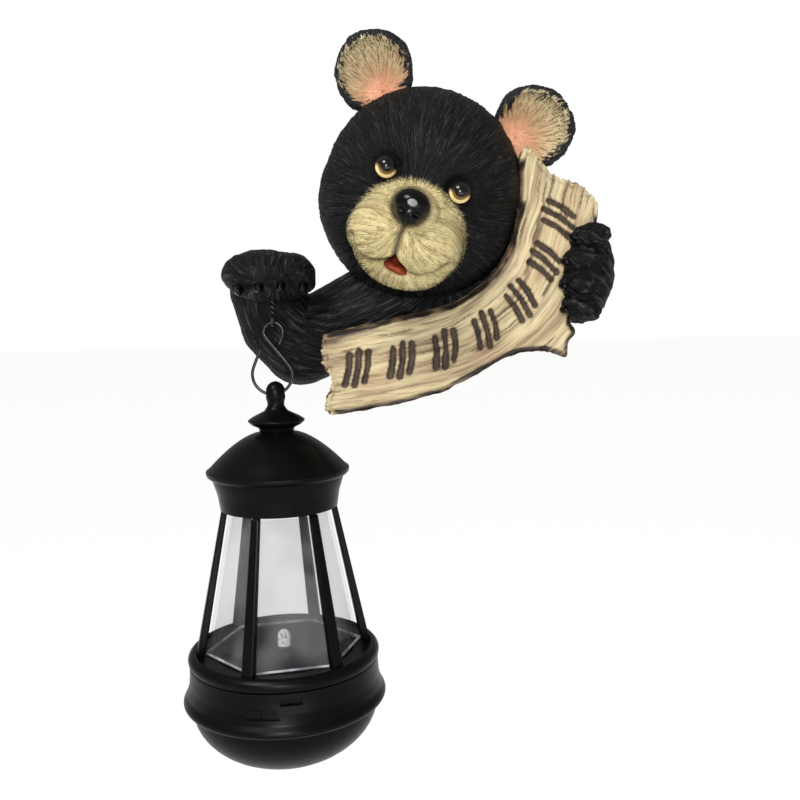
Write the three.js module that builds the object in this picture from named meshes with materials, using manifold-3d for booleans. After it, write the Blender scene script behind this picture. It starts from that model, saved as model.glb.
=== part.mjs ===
// A wall-hung garden bear. A bear cub, cast in painted resin, leans over a curved timber board
// with one paw round its edge, and holds a small solar lantern from the other paw.
// Millimetres. +Z is up, the front faces -Y and the flat back lies on the wall, y = 0.
// The origin is the hanging point on the flat back of the head.

import * as THREE from "three";
import { mergeVertices } from "three/addons/utils/BufferGeometryUtils.js";
import Module from "manifold-3d";

const wasm = await Module();
wasm.setup();

// Gaps, walls and other sizes shared by several pieces
const seatGap = 0.3; // between two pieces that touch
const turnSides = 20; // sides of a turned piece
const capSides = 12; // sides of a small turned piece

// The figure. Its masses are shares of the head's width, as a carver sets them out.
const headWidth = 77.2;
const modelHeadWidth = 77.2; // head width for which the figure's places below are given
const share = headWidth / modelHeadWidth;
const headCentre = new THREE.Vector3(6.5, -32, -10.7).multiplyScalar(share);
const headTurn = { pitch: 7.5, roll: 20.3, yaw: -4.3 }; // degrees
const skullRadii = [37.6, 36, 37.6];
const cheekFullness = 0.06;
const jowlDrop = 0.14;
const earReach = { x: 31.9, y: 3, z: 34.3 }; // ear centre from the head's centre
const earRadii = [15.6, 8, 15.3];
const earDish = { radii: [12.5, 8.6, 12.1], forward: 6.2, inward: 1.8 };
const earTufts = 12; // ragged locks round an ear
const earTuftShare = 0.035; // their depth over the ear's radius
const eyePlace = { x: 13.5, y: -32.3, z: 3.0 };
const eyeRadius = 4.1;
const socketRadius = 6.6;
const socketForward = 6.2; // socket centre ahead of the eye's centre

// Masses of the face in the head's own turned frame, angles in degrees
const muzzle = { centre: [0.8, -26.5, -16.8], radii: [20.6, 22, 18.6] };
const bridge = { centre: [0, -40, -8.5], radii: [10, 11, 8.6], pitch: -20 };
const lobe = { centre: [9, -36.4, -17.7], radii: [11.8, 14, 11.1], roll: 16 }; // one each side
const chin = { centre: [1, -31, -24], radii: [18.2, 15.5, 12.2] };
const nose = { centre: [0, -50.6, -6.8], radii: [5.9, 5, 5.6] };
const nostril = { centre: [2.7, -55.2, -8.2], radii: [1.2, 1.6, 1.0] }; // one each side
const mouth = { centre: [0.7, -46.5, -28], radii: [5.2, 5.4, 2.4] };
const tongue = { centre: [0.9, -42.4, -29], radii: [4.4, 4.6, 2] };

// The body behind the board
const trunk = { centre: [14, -14, -45], radii: [38, 20, 33] };

// The arm over the lantern: the limb's radius at each joint, then its paw, toes and claws
const shoulder = { at: [0, -20, -49], radius: 18 };
const elbow = { at: [-43.4, -22, -70], radius: 16 };
const forearm = { at: [-51.6, -24, -61], radius: 15.6 };
const wrist = { at: [-56, -30, -48.5], radius: 13.6 };
const lanternPaw = { centre: [-52.9, -45, -43.2], radii: [16.9, 16, 9.7], roll: 4 };
const toe = { first: [-61.2, -56, -46.4], across: 7.8, rise: 0.9, radii: [4.2, 6, 4.5], pitch: -12 };
const toeRow = { middle: 1.2, bend: 1.7, power: 1.3 }; // how the row of toes curves back
const toeClaw = { ahead: 5.4, below: 1.9, radii: [1.8, 3.2, 2.5], pitch: 38 };

// The arm behind the board, and the paw whose fingers grip the board's edge
const farShoulder = { at: [28, -17, -54], radius: 15 };
const farWrist = { at: [62, -26, -46], radius: 12.5 };
const boardPaw = { centre: [66.8, -37, -44.4], radii: [10.6, 14.5, 18.3], roll: 10 };
const finger = { first: [62.3, -48, -31.6], drop: 8.6, radii: [8, 7, 5], roll: -8, fan: 9, yaw: -18 };
const fingerShift = [4.5, 0.2, -1.6, 0.4]; // each finger's own step along x
const fingerClaw = { inward: 6.2, ahead: 1.6, drop: 0.2, radii: [2.6, 2.4, 1.9], yaw: 24 };

// The board
const boardThickness = 9 * share;
const boardFront = -44.5 * share; // y of its face
const barkWidth = 1.9 * share; // rounded bark edge beyond the face
const barkDepth = 3.2 * share;
const strokeGroups = 7; // carved marks, in the place of an inscription
const strokesInGroup = 3;
const strokeLength = 14 * share;
const strokeWidth = 2.1 * share;
const strokeDepth = 0.9 * share;
const strokeSlant = 0.3; // radians from square to the board's middle line
const grainOffsets = [-10.6, 9.4]; // either side of the middle line
const grainDepth = 0.5 * share;
const grainWidth = 0.9 * share;

// The keyhole in the back, for a screw in the wall
const keyhole = { entryRadius: 4.6, slotWidth: 4.8, rise: 9, depth: 6.4, drop: 14 };

// The wire eye in the paw and the S-hook
const eyeWire = 1.2; // diameter
const eyeLoopRadius = 2; // centreline
const eyeLoopDrop = 7.1; // loop centre below the paw
const eyeShankRadius = 1.1;
const eyeShankDepth = 5; // length inside the paw
const hookWire = 1.2; // diameter
const hookTopRadius = 3.7; // centreline
const hookBottomRadius = 7.6;
const hookHeight = 27.4; // centreline, top of one loop to bottom of the other
const hookLean = 0.9; // the wide loop lies this far to the side

// The lantern, measured down from the top of its knob
const knobRadius = 3.8;
const knobNeckRadius = 3.15;
const knobHoleRadius = 1.85;
const collarRadius = 10.6;
const collarLevel = 14.7;
const roofNeckRadius = 6.3;
const roofNeckLevel = 19;
const eaveRadius = 26.8;
const eaveLevel = 33.4;
const bandRadius = 24.7; // under the eave
const bandFootRadius = 22;
const bandFootLevel = 47.4;
const roofWall = 1.6;
const postFootLevel = 101.4;
const postFootWidth = 4.6;
const postTopWidth = 3.1;
const postFootDepth = 3.4;
const postTopDepth = 2.4;
const posts = 6;
const postTurn = 13.5; // degrees, first corner from the +X axis
const rimRadius = 36.4;
const rimHeight = 4.6;
const rimWallRadius = 26.6; // inside the rim
const bowlWallRadius = 35.9;
const bowlBandHeight = 10.6;
const beadRadius = 38.7;
const beadHeight = 5.6;
const bowlDepth = 23.4; // the round bottom, below the bead
const bowlWall = 2;
const sleeveWall = 1.2;
const deckThickness = 2;
const lampRadius = 2.5;
const lampHeight = 6.8;
const lampBezelRadius = 4.8;

// Solids

// A closed three.js geometry as a solid, with its faces pointing out.
function solid(geometry) {
  const bare = new THREE.BufferGeometry();
  bare.setAttribute("position", geometry.getAttribute("position"));
  if (geometry.index) bare.setIndex(geometry.index);
  const merged = mergeVertices(bare, 1e-4);
  const at = merged.getAttribute("position").array;
  const index = merged.index.array;
  const faces = [];
  let volume = 0;
  const [a, b, c] = [new THREE.Vector3(), new THREE.Vector3(), new THREE.Vector3()];
  for (let i = 0; i < index.length; i += 3) {
    const [p, q, r] = [index[i], index[i + 1], index[i + 2]];
    if (p === q || q === r || r === p) continue; // a face squeezed flat at a pole
    faces.push([p, q, r]);
    volume += a.fromArray(at, 3 * p).dot(b.fromArray(at, 3 * q).cross(c.fromArray(at, 3 * r)));
  }
  const out = volume < 0 ? faces.map(([p, q, r]) => [p, r, q]) : faces;
  const triVerts = new Uint32Array(out.flat());
  return new wasm.Manifold(new wasm.Mesh({ numProp: 3, vertProperties: at, triVerts }));
}

// All of the solids joined into one.
function join(...solids) {
  return solids.flat().reduce((whole, next) => whole.add(next));
}

// A solid as a mesh of its own node.
function node(name, body, { color, roughness, metalness = 0 }) {
  const made = body.getMesh();
  const geometry = new THREE.BufferGeometry();
  geometry.setAttribute("position", new THREE.BufferAttribute(made.vertProperties, 3));
  geometry.setIndex(new THREE.BufferAttribute(made.triVerts, 1));
  geometry.computeVertexNormals();
  const material = new THREE.MeshStandardMaterial({ color, roughness, metalness });
  const mesh = new THREE.Mesh(geometry, material);
  mesh.name = name;
  return mesh;
}

// A turned piece: pairs of radius and height, round the +Z axis.
function turned(profile, sides = turnSides) {
  const points = profile.map(([radius, height]) => new THREE.Vector2(radius, height));
  return new THREE.LatheGeometry(points, sides).rotateX(Math.PI / 2);
}

// The points of a quarter or longer arc of an ellipse, as profile pairs.
function arc(centre, radii, from, to, steps) {
  return Array.from({ length: steps + 1 }, (_, i) => {
    const angle = THREE.MathUtils.degToRad(from + ((to - from) * i) / steps);
    return [centre[0] + radii[0] * Math.cos(angle), centre[1] + radii[1] * Math.sin(angle)];
  });
}

function rotation(pitch, roll, yaw) {
  const angles = [pitch, roll, yaw].map(THREE.MathUtils.degToRad);
  return new THREE.Matrix4().makeRotationFromEuler(new THREE.Euler(...angles, "ZXY"));
}

// An ellipsoid mass. Sizes and places are shares of the head's width, as the figure's are.
function mass(centre, radii, { turn = [0, 0, 0], sides = 12, rows = 8, frame, shape } = {}) {
  const geometry = new THREE.SphereGeometry(1, sides, rows).rotateX(Math.PI / 2);
  if (shape) shape(geometry);
  geometry.scale(...radii.map((r) => r * share));
  geometry.applyMatrix4(rotation(...turn));
  geometry.translate(...centre.map((c) => c * share));
  if (frame) geometry.applyMatrix4(frame);
  return solid(geometry);
}

// A limb between two round ends of different thickness.
function limb(start, startRadius, end, endRadius, { sides = 10 } = {}) {
  const a = new THREE.Vector3(...start).multiplyScalar(share);
  const b = new THREE.Vector3(...end).multiplyScalar(share);
  const [ra, rb] = [startRadius * share, endRadius * share];
  const length = a.distanceTo(b);
  const lean = THREE.MathUtils.radToDeg(Math.asin((ra - rb) / length));
  const profile = [
    ...arc([0, 0], [ra, ra], -90, lean, 4),
    ...arc([0, length], [rb, rb], lean, 90, 4),
  ];
  profile[0][0] = 0;
  profile[profile.length - 1][0] = 0;
  const geometry = turned(profile, sides);
  const along = new THREE.Quaternion().setFromUnitVectors(
    new THREE.Vector3(0, 0, 1),
    b.clone().sub(a).normalize(),
  );
  geometry.applyQuaternion(along).translate(a.x, a.y, a.z);
  return solid(geometry);
}

// The head: skull, cheeks, muzzle, ears and eyes, in the head's own turned frame

const headFrame = new THREE.Matrix4()
  .makeTranslation(headCentre)
  .multiply(rotation(headTurn.pitch, headTurn.roll, headTurn.yaw));

// Ragged locks round the rim of an ear, strongest at the edge of its outline.
function ruffle(geometry) {
  const at = geometry.getAttribute("position");
  for (let i = 0; i < at.count; i += 1) {
    const [x, y, z] = [at.getX(i), at.getY(i), at.getZ(i)];
    const rim = Math.hypot(x, z);
    const lock = Math.cos(earTufts * Math.atan2(z, x)) * earTuftShare * rim ** 4;
    at.setXYZ(i, x * (1 + lock), y, z * (1 + lock));
  }
}

function ear(side) {
  const place = [side * earReach.x, earReach.y, earReach.z];
  const inward = new THREE.Vector2(-side * earReach.x, -earReach.z).setLength(earDish.inward);
  const dishPlace = [place[0] + inward.x, place[1] - earDish.forward, place[2] + inward.y];
  // The poles lie front and back, so that the rows run round the rim.
  const faceOn = { sides: 2 * earTufts, rows: 5, frame: headFrame, shape: rimFirst };
  const shell = mass(place, earRadii, faceOn);
  const dish = mass(dishPlace, earDish.radii, { sides: 14, rows: 5, frame: headFrame });
  return shell.subtract(dish);
}

function rimFirst(geometry) {
  geometry.rotateX(Math.PI / 2);
  ruffle(geometry);
}

// A mass of the face, or its mirror image on the bear's other side.
function facial({ centre, radii, pitch = 0, roll = 0 }, [sides, rows], side = 1) {
  const place = [side * centre[0], centre[1], centre[2]];
  return mass(place, radii, { frame: headFrame, turn: [pitch, side * roll, 0], sides, rows });
}

function face() {
  const lobes = [-1, 1].map((side) => facial(lobe, [10, 8], side));
  const nostrils = [-1, 1].map((side) => facial(nostril, [6, 4], side));
  const soft = [facial(muzzle, [14, 10]), facial(bridge, [10, 7]), facial(chin, [12, 6])];
  return {
    add: [...soft, ...lobes, facial(nose, [10, 7])],
    cut: [facial(mouth, [10, 6]), ...nostrils],
    last: [facial(tongue, [8, 5])],
  };
}

// Full cheeks and a heavy jaw: the lower half of a skull is wider and deeper than the upper.
function fillJowls(geometry) {
  const at = geometry.getAttribute("position");
  for (let i = 0; i < at.count; i += 1) {
    const low = Math.max(0, -at.getZ(i));
    const full = 1 + cheekFullness * Math.sin(Math.PI * low);
    at.setXYZ(i, at.getX(i) * full, at.getY(i), at.getZ(i) * (low > 0 ? 1 + jowlDrop : 1));
  }
}

function head() {
  const on = { frame: headFrame };
  const skull = mass([-0.3, 0, -0.9], skullRadii, { ...on, sides: 20, rows: 14, shape: fillJowls });
  const sockets = [-1, 1].map((side) => {
    const place = [side * eyePlace.x, eyePlace.y - socketForward, eyePlace.z];
    return mass(place, [socketRadius, socketRadius, socketRadius], { ...on, sides: 8, rows: 6 });
  });
  const eyes = [-1, 1].map((side) => {
    const place = [side * eyePlace.x, eyePlace.y, eyePlace.z];
    return mass(place, [eyeRadius, eyeRadius, eyeRadius], { ...on, sides: 8, rows: 6 });
  });
  const parts = face();
  const whole = join(skull, parts.add, ear(-1), ear(1));
  const carved = [...sockets, ...parts.cut].reduce((body, tool) => body.subtract(tool), whole);
  return join(carved, eyes, parts.last);
}

// The body behind the board and the two arms

function claw(place, radii, turn) {
  return mass(place, radii, { turn, sides: 5, rows: 4 });
}

// The arm that reaches out, bends at the elbow and droops its paw over the lantern.
function lanternArm() {
  const { centre, radii, roll } = lanternPaw;
  const palm = mass(centre, radii, { sides: 14, rows: 9, turn: [0, roll, 0] });
  const toes = Array.from({ length: 4 }, (_, i) => {
    const x = toe.first[0] + toe.across * i;
    const y = toe.first[1] + toeRow.bend * Math.abs(i - toeRow.middle) ** toeRow.power;
    const z = toe.first[2] + toe.rise * i;
    return [
      mass([x, y, z], toe.radii, { turn: [toe.pitch, 0, 0], sides: 8, rows: 5 }),
      claw([x, y - toeClaw.ahead, z - toeClaw.below], toeClaw.radii, [toeClaw.pitch, 0, 0]),
    ];
  });
  return join(
    limb(shoulder.at, shoulder.radius, elbow.at, elbow.radius),
    limb(elbow.at, elbow.radius - 0.2, forearm.at, forearm.radius),
    limb(forearm.at, forearm.radius, wrist.at, wrist.radius),
    palm,
    toes.flat(),
  );
}

// The arm behind the board, with the paw that grips its edge.
function boardArm() {
  const { centre, radii, roll } = boardPaw;
  const palm = mass(centre, radii, { sides: 12, rows: 9, turn: [0, roll, 0] });
  const fingers = fingerShift.map((shift, i) => {
    const x = finger.first[0] + shift;
    const y = finger.first[1];
    const z = finger.first[2] - finger.drop * i;
    const turn = [0, finger.roll + finger.fan * i, finger.yaw];
    const tip = [x - fingerClaw.inward, y - fingerClaw.ahead, z - fingerClaw.drop * i];
    return [
      mass([x, y, z], finger.radii, { turn, sides: 8, rows: 5 }),
      claw(tip, fingerClaw.radii, [0, 0, fingerClaw.yaw]),
    ];
  });
  const arm = limb(farShoulder.at, farShoulder.radius, farWrist.at, farWrist.radius);
  return join(arm, palm, fingers.flat());
}

function body() {
  return mass(trunk.centre, trunk.radii, { sides: 14, rows: 9 });
}

// The board: a slab that curves round the head, with carved marks and grain

// Edge points of the face, x and z, from the torn left end round to the torn top.
const boardInner = [
  [-33, -65.6], [-19.6, -63], [-5.2, -60], [5.6, -57.6], [16.4, -55],
  [25, -50], [32.4, -43], [38, -33.8], [40.8, -23.4], [41.8, -12], [42, -1.6],
];
const boardTop = [
  [44, 1.4], [48.6, -2.4], [51.9, -7.1], [56.1, -9.9], [62.5, -12.1], [69.3, -17.6], [70.6, -22.8],
];
const boardOuter = [
  [70, -27.5], [66, -40], [62.4, -52], [60.2, -62], [62.2, -66.6], [59.6, -70.5], [58.8, -76],
];
const boardLower = [
  [52.2, -73.8], [45, -73.4], [37.8, -75], [30.6, -78.2], [23.3, -82.4], [12.4, -87.7],
  [1.4, -91], [-9.5, -93.2], [-20.4, -94.8], [-30.6, -96],
];
const boardTorn = [[-32.8, -93.4], [-32, -89], [-29.4, -84], [-30.2, -81.6], [-33, -77.4], [-33.6, -72]];

function vectors(points) {
  return points.map(([x, z]) => new THREE.Vector2(x * share, z * share));
}

// The middle line of the board, which the marks and the grain follow.
const boardLine = new THREE.SplineCurve(
  vectors([[-28, -79.5], [-8, -76.5], [12, -72], [27, -65.5], [40, -56], [49.5, -42], [55, -27], [58, -16]]),
);

function boardBlank() {
  const outline = new THREE.Shape();
  outline.moveTo(boardInner[0][0] * share, boardInner[0][1] * share);
  outline.splineThru(vectors(boardInner.slice(1)));
  outline.splineThru(vectors(boardTop));
  outline.splineThru(vectors(boardOuter));
  outline.splineThru(vectors(boardLower));
  vectors(boardTorn).forEach((point) => outline.lineTo(point.x, point.y));
  const slab = new THREE.ExtrudeGeometry(outline, {
    depth: boardThickness - 2 * barkDepth,
    bevelThickness: barkDepth,
    bevelSize: barkWidth,
    bevelOffset: -barkWidth,
    bevelSegments: 1,
    curveSegments: 1,
  });
  slab.translate(0, 0, barkDepth).rotateX(Math.PI / 2);
  return solid(slab.translate(0, boardFront + boardThickness, 0));
}

// A shallow lens-shaped stroke cut into the face at a point, turned in the plane of the face.
function stroke(x, z, length, width, depth, turn) {
  const cut = new THREE.SphereGeometry(1, 4, 4).rotateX(Math.PI / 2);
  cut.scale(width / 2, depth, length / 2).rotateY(turn);
  return solid(cut.translate(x, boardFront, z));
}

// Rows of plain strokes, three to a group, which spell nothing.
function boardMarks() {
  const spread = strokeWidth * 1.75;
  return Array.from({ length: strokeGroups * strokesInGroup }, (_, i) => {
    const group = Math.floor(i / strokesInGroup);
    const place = (i % strokesInGroup) - (strokesInGroup - 1) / 2;
    const along = 0.07 + (0.86 * group) / (strokeGroups - 1);
    const point = boardLine.getPointAt(along);
    const run = boardLine.getTangentAt(along);
    const slant = Math.atan2(run.x, run.y) + Math.PI / 2 + strokeSlant;
    const x = point.x + place * spread * run.x;
    const z = point.y + place * spread * run.y;
    const length = strokeLength * (1 - 0.16 * Math.abs(place) - 0.05 * (group % 2));
    return stroke(x, z, length, strokeWidth, strokeDepth, slant);
  });
}

// Long grooves of the grain on both sides of the marks.
function boardGrain() {
  return grainOffsets.map((offset) => {
    const points = Array.from({ length: 7 }, (_, i) => {
      const along = 0.06 + 0.12 * i;
      const point = boardLine.getPointAt(along);
      const run = boardLine.getTangentAt(along);
      const away = offset * share;
      return new THREE.Vector3(point.x - away * run.y, boardFront, point.y + away * run.x);
    });
    const groove = new THREE.Shape(
      [[-1, 0], [0, -1], [1, 0], [0, 1]].map(
        ([across, deep]) => new THREE.Vector2(deep * grainDepth, (across * grainWidth) / 2),
      ),
    );
    const path = new THREE.CatmullRomCurve3(points);
    return solid(new THREE.ExtrudeGeometry(groove, { steps: 8, extrudePath: path, bevelEnabled: false }));
  });
}

function board() {
  return [...boardMarks(), ...boardGrain()].reduce((slab, cut) => slab.subtract(cut), boardBlank());
}

// The keyhole: a round mouth with a slot above it, sunk into the back below the origin.
function keyholeCut() {
  const { entryRadius, slotWidth, rise, depth, drop } = keyhole;
  const mouth = new THREE.CylinderGeometry(entryRadius, entryRadius, 2 * depth, 20);
  const slotEnd = new THREE.CylinderGeometry(slotWidth / 2, slotWidth / 2, 2 * depth, 12);
  const slot = new THREE.BoxGeometry(slotWidth, 2 * depth, rise);
  return join(
    solid(mouth.translate(0, 0, -drop)),
    solid(slotEnd.translate(0, 0, rise - drop)),
    solid(slot.translate(0, 0, rise / 2 - drop)),
  );
}

// The wire eye hangs from this point under the paw, and the hook and lantern hang below it.
const eyeX = -51.1 * share;
const eyeY = -47 * share;
const pawUnderside = -52.6 * share;
const eyeLoopZ = pawUnderside - eyeLoopDrop;
const hookTopZ = eyeLoopZ - eyeLoopRadius + (eyeWire + hookWire) / 2 + seatGap;
const hookBottomZ = hookTopZ - hookHeight;

function eyePocket() {
  const radius = eyeShankRadius + seatGap;
  const height = 2 * (eyeShankDepth + seatGap);
  const drill = new THREE.CylinderGeometry(radius, radius, height, 12).rotateX(Math.PI / 2);
  return solid(drill.translate(eyeX, eyeY, pawUnderside));
}

function wall() {
  const half = 5 * headWidth;
  return solid(new THREE.BoxGeometry(2 * half, half, 2 * half).translate(0, half / 2, 0));
}

function casting() {
  const whole = join(head(), body(), lanternArm(), boardArm(), board());
  return whole.subtract(wall()).subtract(keyholeCut()).subtract(eyePocket());
}

function wireEye() {
  const loop = new THREE.TorusGeometry(eyeLoopRadius, eyeWire / 2, 6, 16).rotateY(Math.PI / 2);
  const top = pawUnderside + eyeShankDepth;
  const foot = eyeLoopZ + eyeLoopRadius - eyeWire / 4;
  const shank = new THREE.CylinderGeometry(eyeShankRadius, eyeShankRadius, top - foot, 10);
  shank.rotateX(Math.PI / 2).translate(eyeX, eyeY, (top + foot) / 2);
  return join(solid(loop.translate(eyeX, eyeY, eyeLoopZ)), solid(shank));
}

// The S-hook: a small loop above, a wide one below, in the plane of the wall.
function hook() {
  const topCentre = hookTopZ - hookTopRadius;
  const bottomCentre = hookBottomZ + hookBottomRadius;
  const wideX = eyeX - hookLean;
  const at = (x, z) => new THREE.Vector3(x, eyeY, z);
  const ring = (x, z, radius, from, to, steps) =>
    arc([x, z], [radius, radius], from, to, steps).map((point) => at(...point));
  const path = new THREE.CatmullRomCurve3([
    at(eyeX + 0.55 * hookTopRadius, topCentre - 1.25 * hookTopRadius),
    ...ring(eyeX, topCentre, hookTopRadius, -28, 205, 8),
    ...ring(wideX, bottomCentre, hookBottomRadius, 22, -205, 10),
    at(wideX - 0.55 * hookBottomRadius, bottomCentre + 1.22 * hookBottomRadius),
  ]);
  const section = new THREE.Shape().absarc(0, 0, hookWire / 2, 0, 2 * Math.PI);
  const steps = { steps: 30, curveSegments: 3, extrudePath: path, bevelEnabled: false };
  return solid(new THREE.ExtrudeGeometry(section, steps));
}

// The lantern. Its group stands at the top of the knob, so heights in it are minus the levels.

const knobHoleLevel = knobHoleRadius + 2.7;
const holeReach = knobRadius + hookLean; // from the loop's middle to the hole's far mouth
const holeCrown = hookBottomRadius - Math.sqrt(hookBottomRadius ** 2 - holeReach ** 2);
const lanternTop = hookBottomZ + holeCrown + hookWire / 2 + seatGap - knobHoleRadius + knobHoleLevel;
const bandTopLevel = eaveLevel + 3.2;
const postTopLevel = bandFootLevel + seatGap;
const frameRingRadius = bandFootRadius - roofWall - seatGap;
const frameRingWall = 1.8;
const rimTop = -postFootLevel;
const rimFoot = rimTop - rimHeight;
const bowlTop = rimFoot - seatGap;
const deckTop = rimTop - 1.2;

// The roof: knob, collar, bell-shaped cap and band in one moulding, open below.
function lanternRoof() {
  const roofDrop = eaveLevel - roofNeckLevel;
  const bell = [0.1, 0.22, 0.45, 0.66, 0.86].map((t) => [
    roofNeckRadius + (eaveRadius - roofNeckRadius) * t ** 0.82,
    -(roofNeckLevel + roofDrop * t ** 1.3),
  ]);
  const outer = [
    [0, 0],
    [2.2, -0.9],
    [knobRadius - 0.2, -3.1],
    [knobRadius, -5.6],
    [knobNeckRadius, -7.6],
    [knobNeckRadius, -9.3],
    [0.42 * collarRadius, -(collarLevel - 3.6)],
    [0.84 * collarRadius, -(collarLevel - 1.4)],
    [collarRadius, -collarLevel],
    [0.88 * collarRadius, -(collarLevel + 1.5)],
    [roofNeckRadius + 0.5, -(roofNeckLevel - 1.6)],
    [roofNeckRadius, -roofNeckLevel],
    ...bell,
    [eaveRadius, -(eaveLevel - 0.4)],
    [eaveRadius, -(eaveLevel + 0.9)],
    [eaveRadius - 1, -(eaveLevel + 1.9)],
    [bandRadius, -(eaveLevel + 2.1)],
    [bandRadius - 0.2, -bandTopLevel],
    [bandFootRadius + 0.9, -(bandTopLevel + 5)],
    [bandFootRadius, -bandFootLevel],
  ];
  const inner = [
    [bandFootRadius - roofWall, -bandFootLevel],
    [bandFootRadius - roofWall, -(bandTopLevel + 2)],
    [eaveRadius - 5.5, -(eaveLevel + 0.4)],
    [roofNeckRadius, -(roofNeckLevel + 4)],
    [0, -(roofNeckLevel + 3)],
  ];
  const hole = new THREE.CylinderGeometry(knobHoleRadius, knobHoleRadius, 4 * knobRadius, 10);
  hole.rotateZ(Math.PI / 2).translate(0, 0, -knobHoleLevel);
  return solid(turned([...outer, ...inner])).subtract(solid(hole));
}

// A tapered post at a corner: its foot on the rim and its head under the roof's band.
function post(angle) {
  const bar = new THREE.BoxGeometry(1, 1, 1);
  const at = bar.getAttribute("position");
  const head = { z: -postTopLevel, out: bandFootRadius - seatGap, depth: postTopDepth, width: postTopWidth };
  const foot = { z: rimTop - 1, out: rimRadius - 3.2, depth: postFootDepth, width: postFootWidth };
  for (let i = 0; i < at.count; i += 1) {
    const end = at.getZ(i) > 0 ? head : foot;
    const out = at.getX(i) > 0 ? end.out : end.out - end.depth;
    at.setXYZ(i, out, at.getY(i) * end.width, end.z);
  }
  return solid(bar.rotateZ(angle));
}

function cornerAngle(i) {
  return THREE.MathUtils.degToRad(postTurn + (360 / posts) * i);
}

// The frame: a ring inside the roof's band, the posts, and the rim that sits on the bowl.
function lanternFrame() {
  const ring = [
    [frameRingRadius, -(postTopLevel + 1)],
    [frameRingRadius, -(postTopLevel - 3.6)],
    [frameRingRadius - frameRingWall, -(postTopLevel - 3.6)],
    [frameRingRadius - frameRingWall, -(postTopLevel + 1)],
    [frameRingRadius, -(postTopLevel + 1)],
  ];
  const rim = [
    [rimWallRadius, rimFoot],
    [bowlWallRadius, rimFoot],
    [rimRadius, rimFoot + 0.4 * rimHeight],
    [rimRadius - 0.8, rimFoot + 0.8 * rimHeight],
    [rimRadius - 2, rimTop],
    [rimRadius - 3.2, rimTop],
    [rimRadius - 3.8, deckTop],
    [rimWallRadius, deckTop],
    [rimWallRadius, rimFoot],
  ];
  const bars = Array.from({ length: posts }, (_, i) => post(cornerAngle(i)));
  return join(solid(turned(ring)), solid(turned(rim)), bars);
}

// The clear sleeve: six flat panes moulded as one tapered tube, which stands on the deck.
function clearSleeve() {
  const headRadius = bandFootRadius - postTopDepth - 2 * seatGap;
  const footRadius = rimRadius - 3.2 - postFootDepth - 2 * seatGap;
  const wallAtCorner = sleeveWall / Math.cos(Math.PI / posts);
  const headZ = -(postTopLevel + 1 + seatGap);
  const footZ = deckTop + seatGap;
  const profile = [
    [footRadius, footZ],
    [headRadius, headZ],
    [headRadius - wallAtCorner, headZ],
    [footRadius - wallAtCorner, footZ],
    [footRadius, footZ],
  ];
  return solid(turned(profile, posts).rotateZ(cornerAngle(0) + Math.PI / 2));
}

// The deck: a plate inside the rim that closes the bowl, with a bezel for the lamp.
function deck() {
  const bore = lampRadius + seatGap;
  return solid(
    turned([
      [bore, deckTop - deckThickness],
      [rimWallRadius - seatGap, deckTop - deckThickness],
      [rimWallRadius - seatGap, deckTop],
      [lampBezelRadius, deckTop],
      [lampBezelRadius - 0.6, deckTop + 0.8],
      [bore, deckTop + 0.8],
      [bore, deckTop - deckThickness],
    ]),
  );
}

// The lamp: a clear five-millimetre diode that stands through the deck.
function lamp() {
  const foot = deckTop - deckThickness;
  const crown = deckTop + lampHeight - lampRadius;
  const dome = arc([0, crown], [lampRadius, lampRadius], 0, 90, 4);
  dome[dome.length - 1][0] = 0;
  return solid(turned([[0, foot], [lampRadius, foot], ...dome], capSides));
}

// The bowl: a plain band, a round bead and a deep rounded bottom, hollow and open above.
function lanternBowl() {
  const beadTop = bowlTop - bowlBandHeight;
  const beadFoot = beadTop - beadHeight;
  const beadMiddle = (beadTop + beadFoot) / 2;
  const footRadius = bowlWallRadius - 0.5;
  const outerBottom = arc([0, beadFoot], [footRadius, bowlDepth], 0, -90, 7);
  const innerBottom = arc([0, beadFoot], [footRadius - bowlWall, bowlDepth - bowlWall], -90, 0, 6);
  outerBottom[outerBottom.length - 1][0] = 0;
  innerBottom[0][0] = 0;
  return solid(
    turned([
      ...innerBottom,
      [bowlWallRadius - bowlWall, beadTop],
      [bowlWallRadius - bowlWall, bowlTop],
      [bowlWallRadius, bowlTop],
      [bowlWallRadius, beadTop + 0.6],
      [beadRadius - 0.9, beadMiddle + 1.7],
      [beadRadius, beadMiddle],
      [beadRadius - 0.7, beadMiddle - 1.7],
      ...outerBottom,
    ]),
  );
}

// The finishes

const paintedResin = { color: 0x17171a, roughness: 0.55 };
const blackWire = { color: 0x1c1c1e, roughness: 0.35, metalness: 0.8 };
const blackPlastic = { color: 0x0f0f10, roughness: 0.45 };
const darkDeck = { color: 0x111216, roughness: 0.25 };
const clearPlastic = { color: 0xe6ecec, roughness: 0.05 };

const bear = new THREE.Group();
bear.add(node("bear_and_board", casting(), paintedResin));
bear.add(node("wire_eye", wireEye(), blackWire));
bear.add(node("s_hook", hook(), blackWire));

const lantern = new THREE.Group();
lantern.position.set(eyeX, eyeY, lanternTop);
lantern.add(node("lantern_roof", lanternRoof(), blackPlastic));
lantern.add(node("lantern_frame", lanternFrame(), blackPlastic));
lantern.add(node("clear_sleeve", clearSleeve(), clearPlastic));
lantern.add(node("lantern_deck", deck(), darkDeck));
lantern.add(node("lamp", lamp(), clearPlastic));
lantern.add(node("lantern_bowl", lanternBowl(), blackPlastic));
bear.add(lantern);

export default bear;
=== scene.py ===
# %% [markdown]
# A garden bear that hangs on a wall. A bear cub, cast in resin and painted by hand, leans over a
# curved timber board and holds a small solar lantern. The solids of the model are loaded first, as a
# fixed frame: everything made below is fitted to them, and takes the place of a solid where the
# real surface has more detail than the solid does.

# %% Load the frame
import math
import bpy
import numpy as np
from mathutils import Matrix, Vector


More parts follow.
